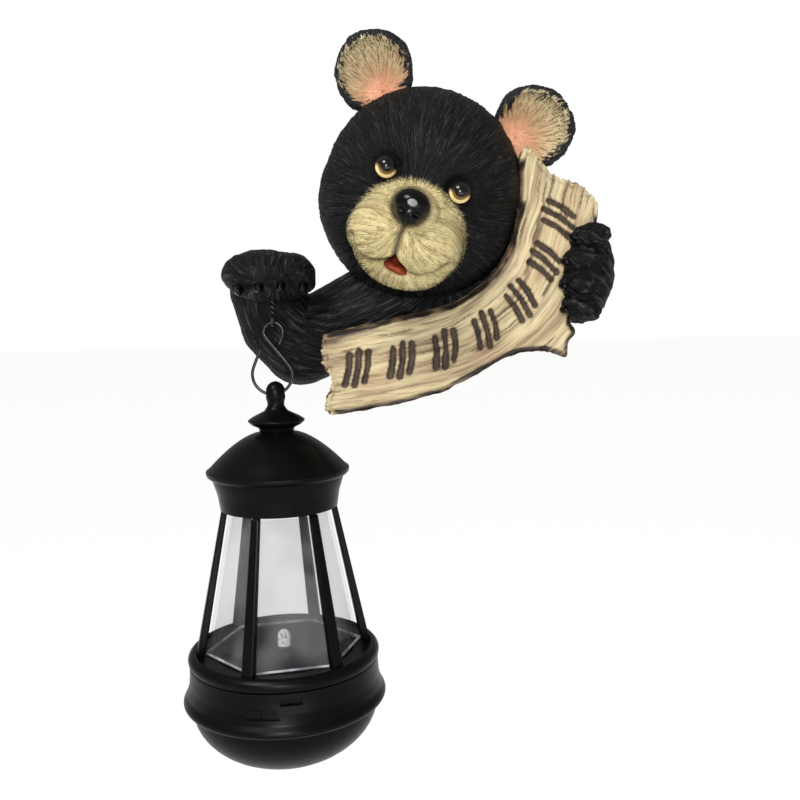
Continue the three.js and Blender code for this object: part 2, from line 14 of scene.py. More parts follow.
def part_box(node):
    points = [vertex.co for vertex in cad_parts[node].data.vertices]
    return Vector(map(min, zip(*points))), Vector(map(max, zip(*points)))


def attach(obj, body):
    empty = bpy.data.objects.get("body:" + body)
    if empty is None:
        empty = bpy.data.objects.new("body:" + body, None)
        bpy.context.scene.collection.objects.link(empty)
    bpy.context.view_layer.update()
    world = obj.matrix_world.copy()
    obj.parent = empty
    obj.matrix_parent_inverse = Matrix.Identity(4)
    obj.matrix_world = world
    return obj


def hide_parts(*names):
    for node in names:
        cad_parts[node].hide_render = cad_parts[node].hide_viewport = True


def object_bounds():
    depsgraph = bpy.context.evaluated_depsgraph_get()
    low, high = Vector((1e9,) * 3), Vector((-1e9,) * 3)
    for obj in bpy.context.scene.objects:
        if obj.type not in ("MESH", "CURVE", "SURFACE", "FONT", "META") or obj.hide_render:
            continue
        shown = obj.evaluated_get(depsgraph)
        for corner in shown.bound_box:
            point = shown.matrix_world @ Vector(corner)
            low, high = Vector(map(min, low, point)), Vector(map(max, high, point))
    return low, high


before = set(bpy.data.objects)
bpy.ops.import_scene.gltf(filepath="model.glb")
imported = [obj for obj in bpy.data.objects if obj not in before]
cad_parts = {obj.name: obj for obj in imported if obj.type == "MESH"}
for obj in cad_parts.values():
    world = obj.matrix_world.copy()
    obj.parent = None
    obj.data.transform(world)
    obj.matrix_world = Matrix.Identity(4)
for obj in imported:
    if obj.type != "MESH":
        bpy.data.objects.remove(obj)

MM = 0.001
cad_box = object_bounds()
print("solids:", sorted(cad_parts))

# %% [markdown]
# Blender's operators act on what is selected, so a few helpers come first. One selects the given
# pieces and nothing else, one applies a modifier, and the others cut, smooth and settle a piece.

# %% Selection helpers
def select_only(*objects):
    if bpy.context.mode != "OBJECT":
        bpy.ops.object.mode_set(mode="OBJECT")
    bpy.ops.object.select_all(action="DESELECT")
    for thing in objects:
        thing.select_set(True)
    bpy.context.view_layer.objects.active = objects[0]


def apply_modifier(thing, kind, **values):
    select_only(thing)
    modifier = thing.modifiers.new(kind.title(), kind)
    for key, value in values.items():
        setattr(modifier, key, value)
    bpy.ops.object.modifier_apply(modifier=modifier.name)


def cut_away(piece, tool):
    """Takes the shape of a tool out of a piece, and removes the tool."""
    apply_modifier(piece, "BOOLEAN", object=tool, operation="DIFFERENCE", solver="EXACT")
    bpy.data.objects.remove(tool)


def shade_smooth(piece):
    select_only(piece)
    bpy.ops.object.shade_smooth()


def settle(thing, name):
    """Gives a piece its name and puts its place into its mesh, so that its object is at the origin."""
    select_only(thing)
    bpy.ops.object.transform_apply(location=True, rotation=True, scale=True)
    thing.name = name
    thing.data.name = name
    return thing


# %% [markdown]
# The camera stands where it stood for the photograph: about forty centimetres off, just below the
# middle of the figure's height, looking a little down and held slightly askew.

# %% Camera
camera_place = Vector((-4.5, -383.0, -57.0)) * MM
pitch, roll = math.radians(5.7), math.radians(1.25)
sensor_width, focal_pixels, photo_pixels = 36, 900, 800
forward = Vector((0, math.cos(pitch), -math.sin(pitch)))
level_right = Vector((1, 0, 0))
level_down = forward.cross(level_right)
right = level_right * math.cos(roll) + level_down * math.sin(roll)
down = level_down * math.cos(roll) - level_right * math.sin(roll)
camera_data = bpy.data.cameras.new("camera")
camera_data.sensor_width = sensor_width
camera_data.lens = sensor_width * focal_pixels / photo_pixels
camera_data.clip_start = 0.01
camera = bpy.data.objects.new("camera", camera_data)
bpy.context.scene.collection.objects.link(camera)
turn = Matrix((right, -down, -forward)).transposed().to_4x4()
camera.matrix_world = Matrix.Translation(camera_place) @ turn
bpy.context.scene.camera = camera
bpy.context.scene.view_settings.view_transform = "Standard"

# %% [markdown]
# Materials are node trees. A small helper makes a Principled material, and others add the parts
# that several finishes share: a noise, a ramp of colours and a bump. Their patterns read Object
# coordinates, so they stay fixed to the piece.

# %% Material helpers
def material(name, color, roughness=0.5, metallic=0.0, **sockets):
    made = bpy.data.materials.new(name)
    made.use_nodes = True
    shader = made.node_tree.nodes["Principled BSDF"]
    shader.inputs["Base Color"].default_value = (*color, 1)
    shader.inputs["Roughness"].default_value = roughness
    shader.inputs["Metallic"].default_value = metallic
    for key, value in sockets.items():
        shader.inputs[key.replace("_", " ")].default_value = value
    return made


def add_node(made, kind, **values):
    node = made.node_tree.nodes.new(kind)
    for key, value in values.items():
        if key in node.inputs:
            node.inputs[key].default_value = value
        else:
            setattr(node, key, value)
    return node


def wire(made, source, target):
    made.node_tree.links.new(source, target)


# %% Noise, ramps and mixes
def noise(made, scale, detail=4.0):
    place = add_node(made, "ShaderNodeTexCoord")
    texture = add_node(made, "ShaderNodeTexNoise", Scale=scale, Detail=detail)
    wire(made, place.outputs["Object"], texture.inputs["Vector"])
    return texture.outputs["Fac"]


def ramp(made, factor, stops):
    node = add_node(made, "ShaderNodeValToRGB")
    elements = node.color_ramp.elements
    while len(elements) < len(stops):
        elements.new(0.5)
    for element, (place, color) in zip(elements, stops):
        element.position = place
        element.color = (*color, 1)
    wire(made, factor, node.inputs["Fac"])
    return node.outputs["Color"]


def mixed(made, factor, first, second):
    node = add_node(made, "ShaderNodeMix", data_type="RGBA")
    if isinstance(factor, float):
        node.inputs[0].default_value = factor
    else:
        wire(made, factor, node.inputs[0])
    for socket, value in ((node.inputs[6], first), (node.inputs[7], second)):
        if isinstance(value, tuple):
            socket.default_value = (*value, 1)
        else:
            wire(made, value, socket)
    return node.outputs[2]


def attribute(made, name):
    return add_node(made, "ShaderNodeAttribute", attribute_name=name).outputs["Fac"]


def spread(made, factor, low, high, to_low=0.0, to_high=1.0):
    node = add_node(made, "ShaderNodeMapRange")
    for key, value in (("From Min", low), ("From Max", high), ("To Min", to_low), ("To Max", to_high)):
        node.inputs[key].default_value = value
    wire(made, factor, node.inputs["Value"])
    return node.outputs["Result"]


# %% [markdown]
# Hair needs a pattern that is drawn out along its lie. Each piece of fur keeps that direction at
# every point, so the shader can step along it, look up the noise at each step and add the values.

# %% Combed pattern
def combed_noise(made, width, length, taps=13, seed=0.0):
    """Noise averaged along the lie of the hair, which each piece keeps as a flow attribute."""
    flow = add_node(made, "ShaderNodeAttribute", attribute_name="flow").outputs["Vector"]
    shifted = add_node(made, "ShaderNodeVectorMath", operation="ADD")
    wire(made, add_node(made, "ShaderNodeTexCoord").outputs["Object"], shifted.inputs[0])
    shifted.inputs[1].default_value = (seed, seed, seed)
    total = None
    for i in range(taps):
        step = (i / (taps - 1) - 0.5) * length
        moved = add_node(made, "ShaderNodeVectorMath", operation="MULTIPLY_ADD")
        wire(made, flow, moved.inputs[0])
        moved.inputs[1].default_value = (step, step, step)
        wire(made, shifted.outputs[0], moved.inputs[2])
        texture = add_node(made, "ShaderNodeTexNoise", Scale=1 / width, Detail=0.0)
        wire(made, moved.outputs[0], texture.inputs["Vector"])
        if total is None:
            total = texture.outputs["Fac"]
        else:
            add = add_node(made, "ShaderNodeMath", operation="ADD")
            wire(made, total, add.inputs[0])
            wire(made, texture.outputs["Fac"], add.inputs[1])
            total = add.outputs[0]
    low_share, high_share = 0.41, 0.59
    return spread(made, total, low_share * taps, high_share * taps)


# %% Sockets and the finish of a piece
def shader_of(made):
    return made.node_tree.nodes["Principled BSDF"]


def drive(made, socket, source):
    """Wires a value or a colour into a socket of the material's shader."""
    wire(made, source, shader_of(made).inputs[socket])


def bump(made, height, distance, strength=1.0):
    node = add_node(made, "ShaderNodeBump", Strength=strength, Distance=distance)
    wire(made, height, node.inputs["Height"])
    wire(made, node.outputs["Normal"], shader_of(made).inputs["Normal"])


def finish(piece, made, slot, *nodes, body="root"):
    """Gives a piece its material and its body, and hides the solids that it replaces. The slot is not used.
    """
    piece.data.materials.clear()
    piece.data.materials.append(made)
    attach(piece, body)
    if nodes:
        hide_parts(*nodes)
    return piece


# %% [markdown]
# The lantern is injection-moulded plastic, and nearly all of it is turned: its outline runs round
# one axis. Such a piece starts as a single point, extruded along the outline in edit mode and then
# spun round the axis. The outlines are pairs of radius and drop below the top of the knob.

# %% The lantern's axis, from the solids
roof_low, roof_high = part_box("lantern_roof")
axis = Vector(((roof_low.x + roof_high.x) / 2, (roof_low.y + roof_high.y) / 2, 0))
lantern_top = roof_high.z
print("lantern axis", tuple(round(v / MM, 1) for v in axis), "top", round(lantern_top / MM, 1))


# %% Turned pieces
def turned(name, outline, steps=96, smooth=38):
    """Spins an outline of (radius, drop) pairs in millimetres round the lantern's axis."""
    bpy.ops.object.select_all(action="DESELECT")
    first = Vector((axis.x + outline[0][0] * MM, axis.y, lantern_top - outline[0][1] * MM))
    bpy.ops.mesh.primitive_plane_add(size=0.001, location=first)
    piece = bpy.context.object
    bpy.ops.object.transform_apply(location=True)
    bpy.ops.object.mode_set(mode="EDIT")
    bpy.ops.mesh.select_all(action="SELECT")
    bpy.ops.mesh.merge(type="CENTER")
    for (r0, z0), (r1, z1) in zip(outline, outline[1:]):
        move = ((r1 - r0) * MM, 0, (z0 - z1) * MM)
        bpy.ops.mesh.extrude_region_move(TRANSFORM_OT_translate={"value": move})
    bpy.ops.mesh.select_all(action="SELECT")
    bpy.ops.mesh.spin(steps=steps, angle=2 * math.pi, center=axis, axis=(0, 0, 1))
    bpy.ops.mesh.select_all(action="SELECT")
    bpy.ops.mesh.remove_doubles(threshold=0.00002)
    bpy.ops.mesh.normals_make_consistent(inside=False)
    bpy.ops.object.mode_set(mode="OBJECT")
    select_only(piece)
    bpy.ops.object.shade_smooth_by_angle(angle=math.radians(smooth))
    return settle(piece, name)


def rounded(corner_in, corner, corner_out, radius, steps):
    """The points of a rounded corner between two straight runs of an outline."""
    a, b, c = (Vector(p) for p in (corner_in, corner, corner_out))
    start = b + (a - b).normalized() * radius
    end = b + (c - b).normalized() * radius
    points = []
    for i in range(steps + 1):
        t = i / steps
        points.append(tuple(start * (1 - t) ** 2 + b * 2 * t * (1 - t) + end * t**2))
    return points


def softened(outline, radius=0.5, steps=3):
    """An outline whose inner corners are all a little rounded."""
    points = [outline[0]]
    for before, corner, after in zip(outline, outline[1:], outline[2:]):
        reach = min(radius, 0.45 * (Vector(before) - Vector(corner)).length)
        reach = min(reach, 0.45 * (Vector(after) - Vector(corner)).length)
        points += rounded(before, corner, after, reach, steps)
    return points + [outline[-1]]


# %% [markdown]
# The roof: a knob with a cross hole, a collar, a bell-shaped cap and a band, all one moulding.

# %% Roof
knob_top = [(0, 0), (1.6, 0.35), (2.9, 1.5), (3.6, 3.1), (3.8, 4.6), (3.7, 6.2), (3.2, 7.7), (3.15, 9.2)]
collar = [(4.4, 11.1), (8.9, 13.3), (10.6, 14.5), (10.6, 15.0), (9.4, 16.2), (6.8, 17.4)]
eave_radius, neck_radius, neck_level, eave_level = 26.8, 6.3, 19.0, 33.4
bell_steps, bell_swell, bell_fall = 13, 0.82, 1.3
bell = []
for i in range(1, bell_steps):
    t = i / bell_steps
    bell.append((
        neck_radius + (eave_radius - neck_radius) * t**bell_swell,
        neck_level + (eave_level - neck_level) * t**bell_fall,
    ))
band = [(eave_radius, 33.0), (eave_radius, 34.3), (25.8, 35.3), (24.7, 35.5), (24.5, 36.6),
        (22.9, 41.6), (22, 47.4)]
roof_inside = [(20.4, 47.4), (20.4, 38.6), (21.3, 33.8), (6.3, 23), (0, 22)]
roof_outline = (
    softened(knob_top, 0.8) + softened(collar, 0.7) + [(neck_radius, neck_level)] + bell
    + softened(band, 0.6) + roof_inside
)
roof = turned("roof", roof_outline)

# %% [markdown]
# On the real cap a pin in the mould leaves a cross hole in the knob. Here a cylinder drills it
# with a Boolean modifier, which cuts cleanly whatever way the knob's faces run.

# %% Knob hole
hole_drop, hole_radius, hole_length = 4.55, 1.85, 12
bpy.ops.object.select_all(action="DESELECT")
bpy.ops.mesh.primitive_cylinder_add(
    vertices=24, radius=hole_radius * MM, depth=hole_length * MM,
    location=(axis.x, axis.y, lantern_top - hole_drop * MM), rotation=(0, math.radians(90), 0))
cut_away(roof, bpy.context.object)

# %% [markdown]
# Satin black plastic. A fine grain keeps the highlights soft, and broad, faint changes of
# roughness stop the big curved faces from looking like a computer's black.

# %% Black plastic
black_plastic = material("black_plastic", (0.0016, 0.0016, 0.0018), 0.34, Specular_IOR_Level=0.07)
grain = noise(black_plastic, 1400.0, 3.0)
bump(black_plastic, grain, 0.00004, 0.5)
cloud = noise(black_plastic, 60.0, 3.0)
drive(black_plastic, "Roughness", spread(black_plastic, cloud, 0.3, 0.7, 0.28, 0.38))
finish(roof, black_plastic, "black_plastic", "lantern_roof")

# %% [markdown]
# The frame: six tapered posts that run from a ring hidden in the roof's band to the rim. Each post
# is a cube whose corners are moved to the post's own, at its foot and at its head, and whose edges
# are then softened by a bevel. The same function makes all six, turned round the axis.

# %% Rim and top ring
rim_outline = softened([
    (26.6, 105.9), (35.9, 105.9), (36.15, 105.3), (36.4, 104), (36.1, 102.9), (35.2, 101.9),
    (34.4, 101.4), (33.2, 101.4), (32.6, 102.5), (26.6, 102.7), (26.6, 105.9),
], 0.35)
rim = turned("rim", rim_outline)
ring = turned("top_ring", [(20.1, 46.5), (18.3, 46.5), (18.3, 44.1), (20.1, 44.1), (20.1, 46.5)])

# %% Posts
post_foot = {"drop": 102.4, "reach": 33.1, "depth": 3.2, "width": 4.6}
post_head = {"drop": 47.7, "reach": 21.7, "depth": 2.3, "width": 3.1}
first_corner = math.radians(13.5)


def post(angle):
    out = Vector((math.cos(angle), math.sin(angle), 0))
    side = Vector((-math.sin(angle), math.cos(angle), 0))
    bpy.ops.object.select_all(action="DESELECT")
    bpy.ops.mesh.primitive_cube_add(size=1)
    piece = bpy.context.object
    for vertex in piece.data.vertices:
        end = post_foot if vertex.co.z < 0 else post_head
        outward = end["reach"] if vertex.co.x > 0 else end["reach"] - end["depth"]
        across = vertex.co.y * end["width"]
        place = axis + (out * outward + side * across) * MM
        vertex.co = (place.x, place.y, lantern_top - end["drop"] * MM)
    bpy.ops.object.mode_set(mode="EDIT")
    bpy.ops.mesh.select_all(action="SELECT")
    bpy.ops.mesh.normals_make_consistent(inside=False)
    bpy.ops.object.mode_set(mode="OBJECT")
    apply_modifier(piece, "BEVEL", width=0.55 * MM, segments=2, limit_method="ANGLE")
    return piece


posts = [post(first_corner + i * math.pi / 3) for i in range(6)]
select_only(rim, ring, *posts)
bpy.ops.object.join()
lantern_frame = settle(rim, "lantern_frame_posts")
finish(lantern_frame, black_plastic, "black_plastic", "lantern_frame")

# %% [markdown]
# The bowl has a plain band, a bead and a deep round bottom. A shallow slot and a small sliding
# switch are let into the band at the front.

# %% Bowl
bottom_level, bottom_radius, bottom_depth = 122.6, 35.4, 23.2
inside_radius, inside_depth = 33.4, 21.4


def round_bottom(radius, depth, shares):
    """Points on a round bottom, each at its share of the way from the lowest point to the side."""
    angles = [math.radians(90 * share) for share in shares]
    return [(radius * math.sin(a), bottom_level + depth * math.cos(a)) for a in angles]


bowl_outline = round_bottom(bottom_radius, bottom_depth, [i / 14 for i in range(15)])
bowl_outline += softened([
    (35.9, 121.9), (37.6, 121.9), (38.4, 121.2), (38.7, 120.1), (38.3, 119), (37.2, 117.2),
    (36.2, 113.6), (35.9, 109.5), (35.9, 106.3),
], 0.5)
bowl_outline += [(33.9, 106.3), (33.9, 116.8)]
bowl_outline += round_bottom(inside_radius, inside_depth, [1 - i / 12 for i in range(13)])
bowl = turned("bowl", bowl_outline)


def facing_box(angle, drop, size, radius):
    """A box that stands across the bowl's wall at an angle round the axis, in degrees."""
    a = math.radians(angle)
    bpy.ops.object.select_all(action="DESELECT")
    place = axis + Vector((math.cos(a), math.sin(a), 0)) * radius * MM
    place.z = lantern_top - drop * MM
    bpy.ops.mesh.primitive_cube_add(size=1, location=place, rotation=(0, 0, a))
    box = bpy.context.object
    box.scale = Vector(size) * MM
    bpy.ops.object.transform_apply(location=True, rotation=True, scale=True)
    return box


switch_level = 113.6
cut_away(bowl, facing_box(-79.3, 109.2, (4.6, 7.8, 3.0), 36.6))
cut_away(bowl, facing_box(-95.8, switch_level, (0.9, 12.6, 3.6), 36.2))
switch = facing_box(-100.2, switch_level, (0.9, 4.6, 2.8), 35.8)
apply_modifier(switch, "BEVEL", width=0.3 * MM, segments=2)
select_only(bowl)
bpy.ops.object.shade_smooth_by_angle(angle=math.radians(30))
finish(settle(switch, "switch_tab"), black_plastic, "black_plastic", "lantern_bowl")
finish(bowl, black_plastic, "black_plastic", "lantern_bowl")

# %% [markdown]
# The deck is a glossy plate at the foot of the posts. In its middle stands the clear lamp: a short
# turned dome that lets light through. A real one sparkles because there is metal inside it. Here an
# uneven surface, and a mottled grey and white colour that is painted glints, give nearly the same sparkle.

# %% Deck
deck = turned("deck", [
    (2.8, 104.6), (26.3, 104.6), (26.3, 102.6), (4.8, 102.6), (4.2, 101.8), (2.8, 101.8), (2.8, 104.6),
])
deck_plastic = material("deck_plastic", (0.003, 0.003, 0.004), 0.16, Specular_IOR_Level=0.05)
smudge = noise(deck_plastic, 90.0, 5.0)
drive(deck_plastic, "Roughness", spread(deck_plastic, smudge, 0.35, 0.75, 0.08, 0.2))
finish(deck, deck_plastic, "deck_plastic", "lantern_deck")

# %% Lamp
lamp = turned("lamp_lens", [
    (0, 104.6), (2.5, 104.6), (2.5, 98.3), (2.35, 97.4), (1.9, 96.6), (1.1, 96), (0, 95.8),
], 32)
lamp_clear = material("lamp_clear", (0.95, 0.97, 0.98), 0.03, IOR=1.5, Transmission_Weight=0.55)
bump_and_glint_noise = noise(lamp_clear, 620.0, 2.0)
# The lamp's mottled grey and white colour is painted glints, for the sparkle of the metal inside.
painted_lamp_glints = ramp(lamp_clear, bump_and_glint_noise, [(0.38, (0.40, 0.41, 0.40)), (0.50, (1.0, 1.0, 1.0))])
drive(lamp_clear, "Base Color", painted_lamp_glints)
bump(lamp_clear, bump_and_glint_noise, 0.0006, 1.0)
finish(lamp, lamp_clear, "lamp_plastic", "lamp")

# %% [markdown]
# The panes are one tapered tube with six flat sides, moulded in clear plastic, with its corners
# behind the posts. A thin flange runs round its foot. Thin clear plastic hardly bends light, so the
# panes are made see-through by a low alpha, which keeps what stands behind them sharp. A faint
# uneven grey tint on them is painted reflection. The flange's colour is paler and denser, with
# painted glints for the light it catches.

# %% Clear sleeve
def pane_ring(radius_foot, radius_head, drop_foot, drop_head, wall, name):
    """A six-sided tapered tube with a wall, its corners at the posts."""
    bpy.ops.object.select_all(action="DESELECT")
    height = (drop_foot - drop_head) * MM
    middle = lantern_top - (drop_foot + drop_head) / 2 * MM
    bpy.ops.mesh.primitive_cone_add(
        vertices=6, radius1=radius_foot * MM, radius2=radius_head * MM, depth=height,
        end_fill_type="NOTHING", location=(axis.x, axis.y, middle),
        rotation=(0, 0, first_corner + math.pi / 2))
    piece = settle(bpy.context.object, name)
    apply_modifier(piece, "SOLIDIFY", thickness=wall * MM, offset=-1, use_even_offset=True)
    apply_modifier(piece, "BEVEL", width=0.15 * MM, segments=2, limit_method="ANGLE")
    return piece


sleeve_foot = 102.3
sleeve = pane_ring(29.2, 19.0, sleeve_foot, 49.0, 1.2, "clear_sleeve_panes")
flange = pane_ring(29.9, 29.75, sleeve_foot, 101.5, 0.8, "flange")
clear_plastic = material("clear_plastic", (0.2, 0.2, 0.2), 0.02, IOR=1.46, Alpha=0.13)
reflection_cloud = noise(clear_plastic, 42.0, 1.0)
# A faint uneven grey tint on the panes is painted reflection.
painted_pane_reflection = ramp(clear_plastic, reflection_cloud, [(0.44, (0.04, 0.045, 0.045)), (0.56, (0.22, 0.23, 0.23))])
drive(clear_plastic, "Base Color", painted_pane_reflection)
finish(sleeve, clear_plastic, "clear_plastic", "clear_sleeve")
clear_edge = material("clear_edge", (0.5, 0.5, 0.52), 0.08, IOR=1.46, Alpha=0.4)
# The flange's paler colour, mottled by a noise, is painted glints where it catches light.
glints = noise(clear_edge, 160.0, 2.0)
painted_flange_glints = ramp(clear_edge, glints, [(0.4, (0.22, 0.22, 0.24)), (0.6, (0.62, 0.62, 0.66))])
drive(clear_edge, "Base Color", painted_flange_glints)
finish(flange, clear_edge, "clear_plastic", "clear_sleeve")

# %% [markdown]
# The hook and the eye are black steel wire. Each is a curve with a round section: the hook one
# smooth S, the eye two strands twisted round each other and opened into a loop at the end.

# %% Wire
wire_black = material("black_wire", (0.03, 0.03, 0.032), 0.3, 0.9)
scuff = noise(wire_black, 500.0, 3.0)
drive(wire_black, "Roughness", spread(wire_black, scuff, 0.4, 0.7, 0.22, 0.45))


def wire_along(name, points, radius):
    curve = bpy.data.curves.new(name, "CURVE")
    curve.dimensions = "3D"
    spline = curve.splines.new("NURBS")
    spline.points.add(len(points) - 1)
    for target, point in zip(spline.points, points):
        target.co = (*point, 1)
    spline.use_endpoint_u = True
    spline.order_u = 4
    spline.resolution_u = 6
    curve.bevel_depth = radius
    curve.bevel_resolution = 4
    curve.use_fill_caps = True
    made = bpy.data.objects.new(name, curve)
    bpy.context.scene.collection.objects.link(made)
    select_only(made)
    bpy.ops.object.convert(target="MESH")
    bpy.ops.object.shade_smooth()
    return settle(bpy.context.object, name)


def arc(centre, radius, start, end, steps):
    points = []
    for i in range(steps + 1):
        a = math.radians(start + (end - start) * i / steps)
        points.append(centre + Vector((math.cos(a), 0, math.sin(a))) * radius)
    return points


hook_low, hook_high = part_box("s_hook")
hook_wire = 0.58 * MM
hook_top, hook_bottom = hook_high.z - 0.6 * MM, hook_low.z + 0.6 * MM
small, wide, lean = 3.7 * MM, 7.6 * MM, 0.9 * MM
small_centre = Vector((axis.x, axis.y, hook_top - small))
wide_centre = Vector((axis.x - lean, axis.y, hook_bottom + wide))
hook_points = [small_centre + Vector((0.55 * small, 0, -1.25 * small))]
hook_points += arc(small_centre, small, -28, 205, 10)
hook_points += arc(wide_centre, wide, 22, -205, 14)
hook_points += [wide_centre + Vector((-0.55 * wide, 0, 1.22 * wide))]
hook = wire_along("s_hook_wire", hook_points, hook_wire)
finish(hook, wire_black, "wire", "s_hook")

# %% Wire eye
eye_low, eye_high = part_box("wire_eye")
eye_centre = Vector((axis.x, axis.y, eye_low.z + 2.6 * MM))
twists, twist_radius, twist_steps = 2.5, 0.5 * MM, 35
loop_radius, loop_steps = 2, 24
strands = []
for phase in (0, math.pi):
    points = []
    for i in range(twist_steps + 1):
        t = i / twist_steps
        a = phase + t * 2 * math.pi * twists
        x, y = eye_centre.x + twist_radius * math.cos(a), eye_centre.y + twist_radius * math.sin(a)
        z = eye_high.z - 0.3 * MM - t * (eye_high.z - eye_centre.z - 2.2 * MM)
        points.append(Vector((x, y, z)))
    strands.append(wire_along("strand", points, 0.46 * MM))
loop_points = []
for i in range(loop_steps + 1):
    a = math.radians(90 + 360 * i / loop_steps)
    loop_points.append(eye_centre + Vector((0, math.cos(a), math.sin(a))) * loop_radius * MM)
strands.append(wire_along("loop", loop_points, 0.55 * MM))
select_only(*strands)
bpy.ops.object.join()
eye = settle(bpy.context.object, "twisted_eye")
finish(eye, wire_black, "wire", "wire_eye")

# %% [markdown]
# The bear was first modelled in clay, cast, and painted by hand. A clay figure grows from simple
# masses pressed together and smoothed, so each mass starts as a sphere or a cone, and a voxel
# remesh with a little smoothing turns them into one skin. Places are millimetres in the solids' frame.

# %% Clay helpers
def blob(centre, radii, turn=(0, 0, 0), place=Matrix.Identity(4), segments=48):
    bpy.ops.object.select_all(action="DESELECT")
    bpy.ops.mesh.primitive_uv_sphere_add(segments=segments, ring_count=segments * 2 // 3, radius=1)
    piece = bpy.context.object
    pitch, roll, yaw = (math.radians(a) for a in turn)
    spin = Matrix.Rotation(yaw, 4, "Z") @ Matrix.Rotation(pitch, 4, "X") @ Matrix.Rotation(roll, 4, "Y")
    size = Matrix.Diagonal((*radii, 1))
    piece.matrix_world = Matrix.Scale(MM, 4) @ place @ Matrix.Translation(centre) @ spin @ size
    return piece


def limb(start, start_radius, end, end_radius):
    """Two balls and the cone between them, for one length of an arm."""
    a, b = Vector(start), Vector(end)
    bpy.ops.object.select_all(action="DESELECT")
    bpy.ops.mesh.primitive_cone_add(
        vertices=48, radius1=start_radius, radius2=end_radius, depth=(b - a).length)
    cone = bpy.context.object
    aim = (b - a).to_track_quat("Z", "Y").to_matrix().to_4x4()
    cone.matrix_world = Matrix.Scale(MM, 4) @ Matrix.Translation((a + b) / 2) @ aim
    return [cone, blob(a, [start_radius] * 3), blob(b, [end_radius] * 3)]


def fuse(pieces, voxel, rounds, name):
    """Presses masses together into one skin with voxels of the given size in millimetres."""
    select_only(*pieces)
    bpy.ops.object.join()
    piece = settle(bpy.context.object, name)
    apply_modifier(piece, "REMESH", mode="VOXEL", voxel_size=voxel * MM, use_smooth_shade=True)
    apply_modifier(piece, "SMOOTH", factor=0.5, iterations=rounds)
    return piece


# %% [markdown]
# Finer shapes are pressed in by moving the mesh's own points, a few tenths of a millimetre at a time.
# The points and their normals are read as arrays, and masks are kept as attributes for the paint.

# %% Points and masks
def points_of(piece):
    values = np.empty(3 * len(piece.data.vertices))
    piece.data.vertices.foreach_get("co", values)
    return values.reshape(-1, 3) / MM


def normals_of(piece):
    values = np.empty(3 * len(piece.data.vertices))
    piece.data.vertices.foreach_get("normal", values)
    return values.reshape(-1, 3)


cast_low, cast_high = (np.array(corner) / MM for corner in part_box("bear_and_board"))


def reshape_to(piece, points, gap=0.03):
    """Puts sculpted points back into the mesh, kept inside the casting's own box."""
    inside = np.clip(points, cast_low + gap, cast_high - gap)
    piece.data.vertices.foreach_set("co", (inside * MM).ravel())
    piece.data.update()


def store(piece, **masks):
    for name, values in masks.items():
        layer = piece.data.attributes.new(name, "FLOAT", "POINT")
        layer.data.foreach_set("value", np.asarray(values, dtype=np.float32))


def store_vectors(piece, **fields):
    for name, vectors in fields.items():
        layer = piece.data.attributes.new(name, "FLOAT_VECTOR", "POINT")
        layer.data.foreach_set("vector", np.asarray(vectors, dtype=np.float32).ravel())


def ease(values, low, high):
    """A smooth step from 0 at low to 1 at high; low may be the larger of the two."""
    t = np.clip((values - low) / (high - low), 0, 1)
    return t * t * (3 - 2 * t)


# %% [markdown]
# Fur on such a figure is combed into the clay with a wire tool. A comb drags a random pattern along
# the lie of the hair: here a fixed lattice of random values is averaged over a short way along the
# hair's direction at each point, which leaves ridges that run that way.

# %% The comb
LARGE_ODD = (73856093, 19349663, 83492791, 50331653)
STIR = (2246822519, 3266489917)
WORD = 0xFFFFFFFF


def lattice_noise(points, cell, seed):
    """Smooth values between 0 and 1 that change over about one cell.

    Large odd numbers scramble each lattice point's whole-number place into a value of its own.
    """
    scaled = points / cell
    base = np.floor(scaled).astype(np.int64)
    t = scaled - base
    t = t * t * (3 - 2 * t)
    total = np.zeros(len(points))
    for corner in range(8):
        step = np.array([corner & 1, (corner >> 1) & 1, corner >> 2])
        x, y, z = (base + step).T
        key = (x * LARGE_ODD[0] ^ y * LARGE_ODD[1] ^ z * LARGE_ODD[2] ^ seed * LARGE_ODD[3]) & WORD
        key = (key ^ (key >> 15)) * STIR[0] & WORD
        key = (key ^ (key >> 13)) * STIR[1] & WORD
        value = ((key ^ (key >> 16)) & 0xFFFF) / 0xFFFF
        weight = np.prod(np.where(step == 1, t, 1 - t), axis=1)
        total += value * weight
    return total


def along_skin(flow, normals):
    flat = flow - normals * np.sum(flow * normals, axis=1, keepdims=True)
    return flat / np.maximum(np.linalg.norm(flat, axis=1, keepdims=True), 1e-6)


def evened(total):
    """Random values brought to a middle of one half and a usual spread, between 0 and 1."""
    centred = total - total.mean()
    return np.clip(0.5 + 0.25 * centred / centred.std(), 0, 1)


def combed(points, flow, width, length, seed):
    total = np.zeros(len(points))
    for step in np.linspace(-length / 2, length / 2, math.ceil(length / width) + 1):
        total += lattice_noise(points + flow * step, width, seed)
    return evened(total)


# %% [markdown]
# The head leans over to the bear's left and looks a little upward. Its masses are placed in the
# head's own frame: skull, muzzle, bridge of the nose, two cheeks and a chin.

# %% Head
head_middle = (6.5, -32, -10.7)
head_nod, head_lean, head_turn = (math.radians(a) for a in (7.5, 20.3, -4.3))
head_frame = (
    Matrix.Translation(head_middle) @ Matrix.Rotation(head_turn, 4, "Z")
    @ Matrix.Rotation(head_nod, 4, "X") @ Matrix.Rotation(head_lean, 4, "Y")
)
to_head = np.array(head_frame.inverted())
from_head = np.array(head_frame)


def in_head(points):
    return points @ to_head[:3, :3].T + to_head[:3, 3]


def out_of_head(ways):
    """Directions in the head's own frame, turned into the solids' frame."""
    return ways @ from_head[:3, :3].T


def sided(name, side):
    return f"{name}_{'left' if side < 0 else 'right'}"


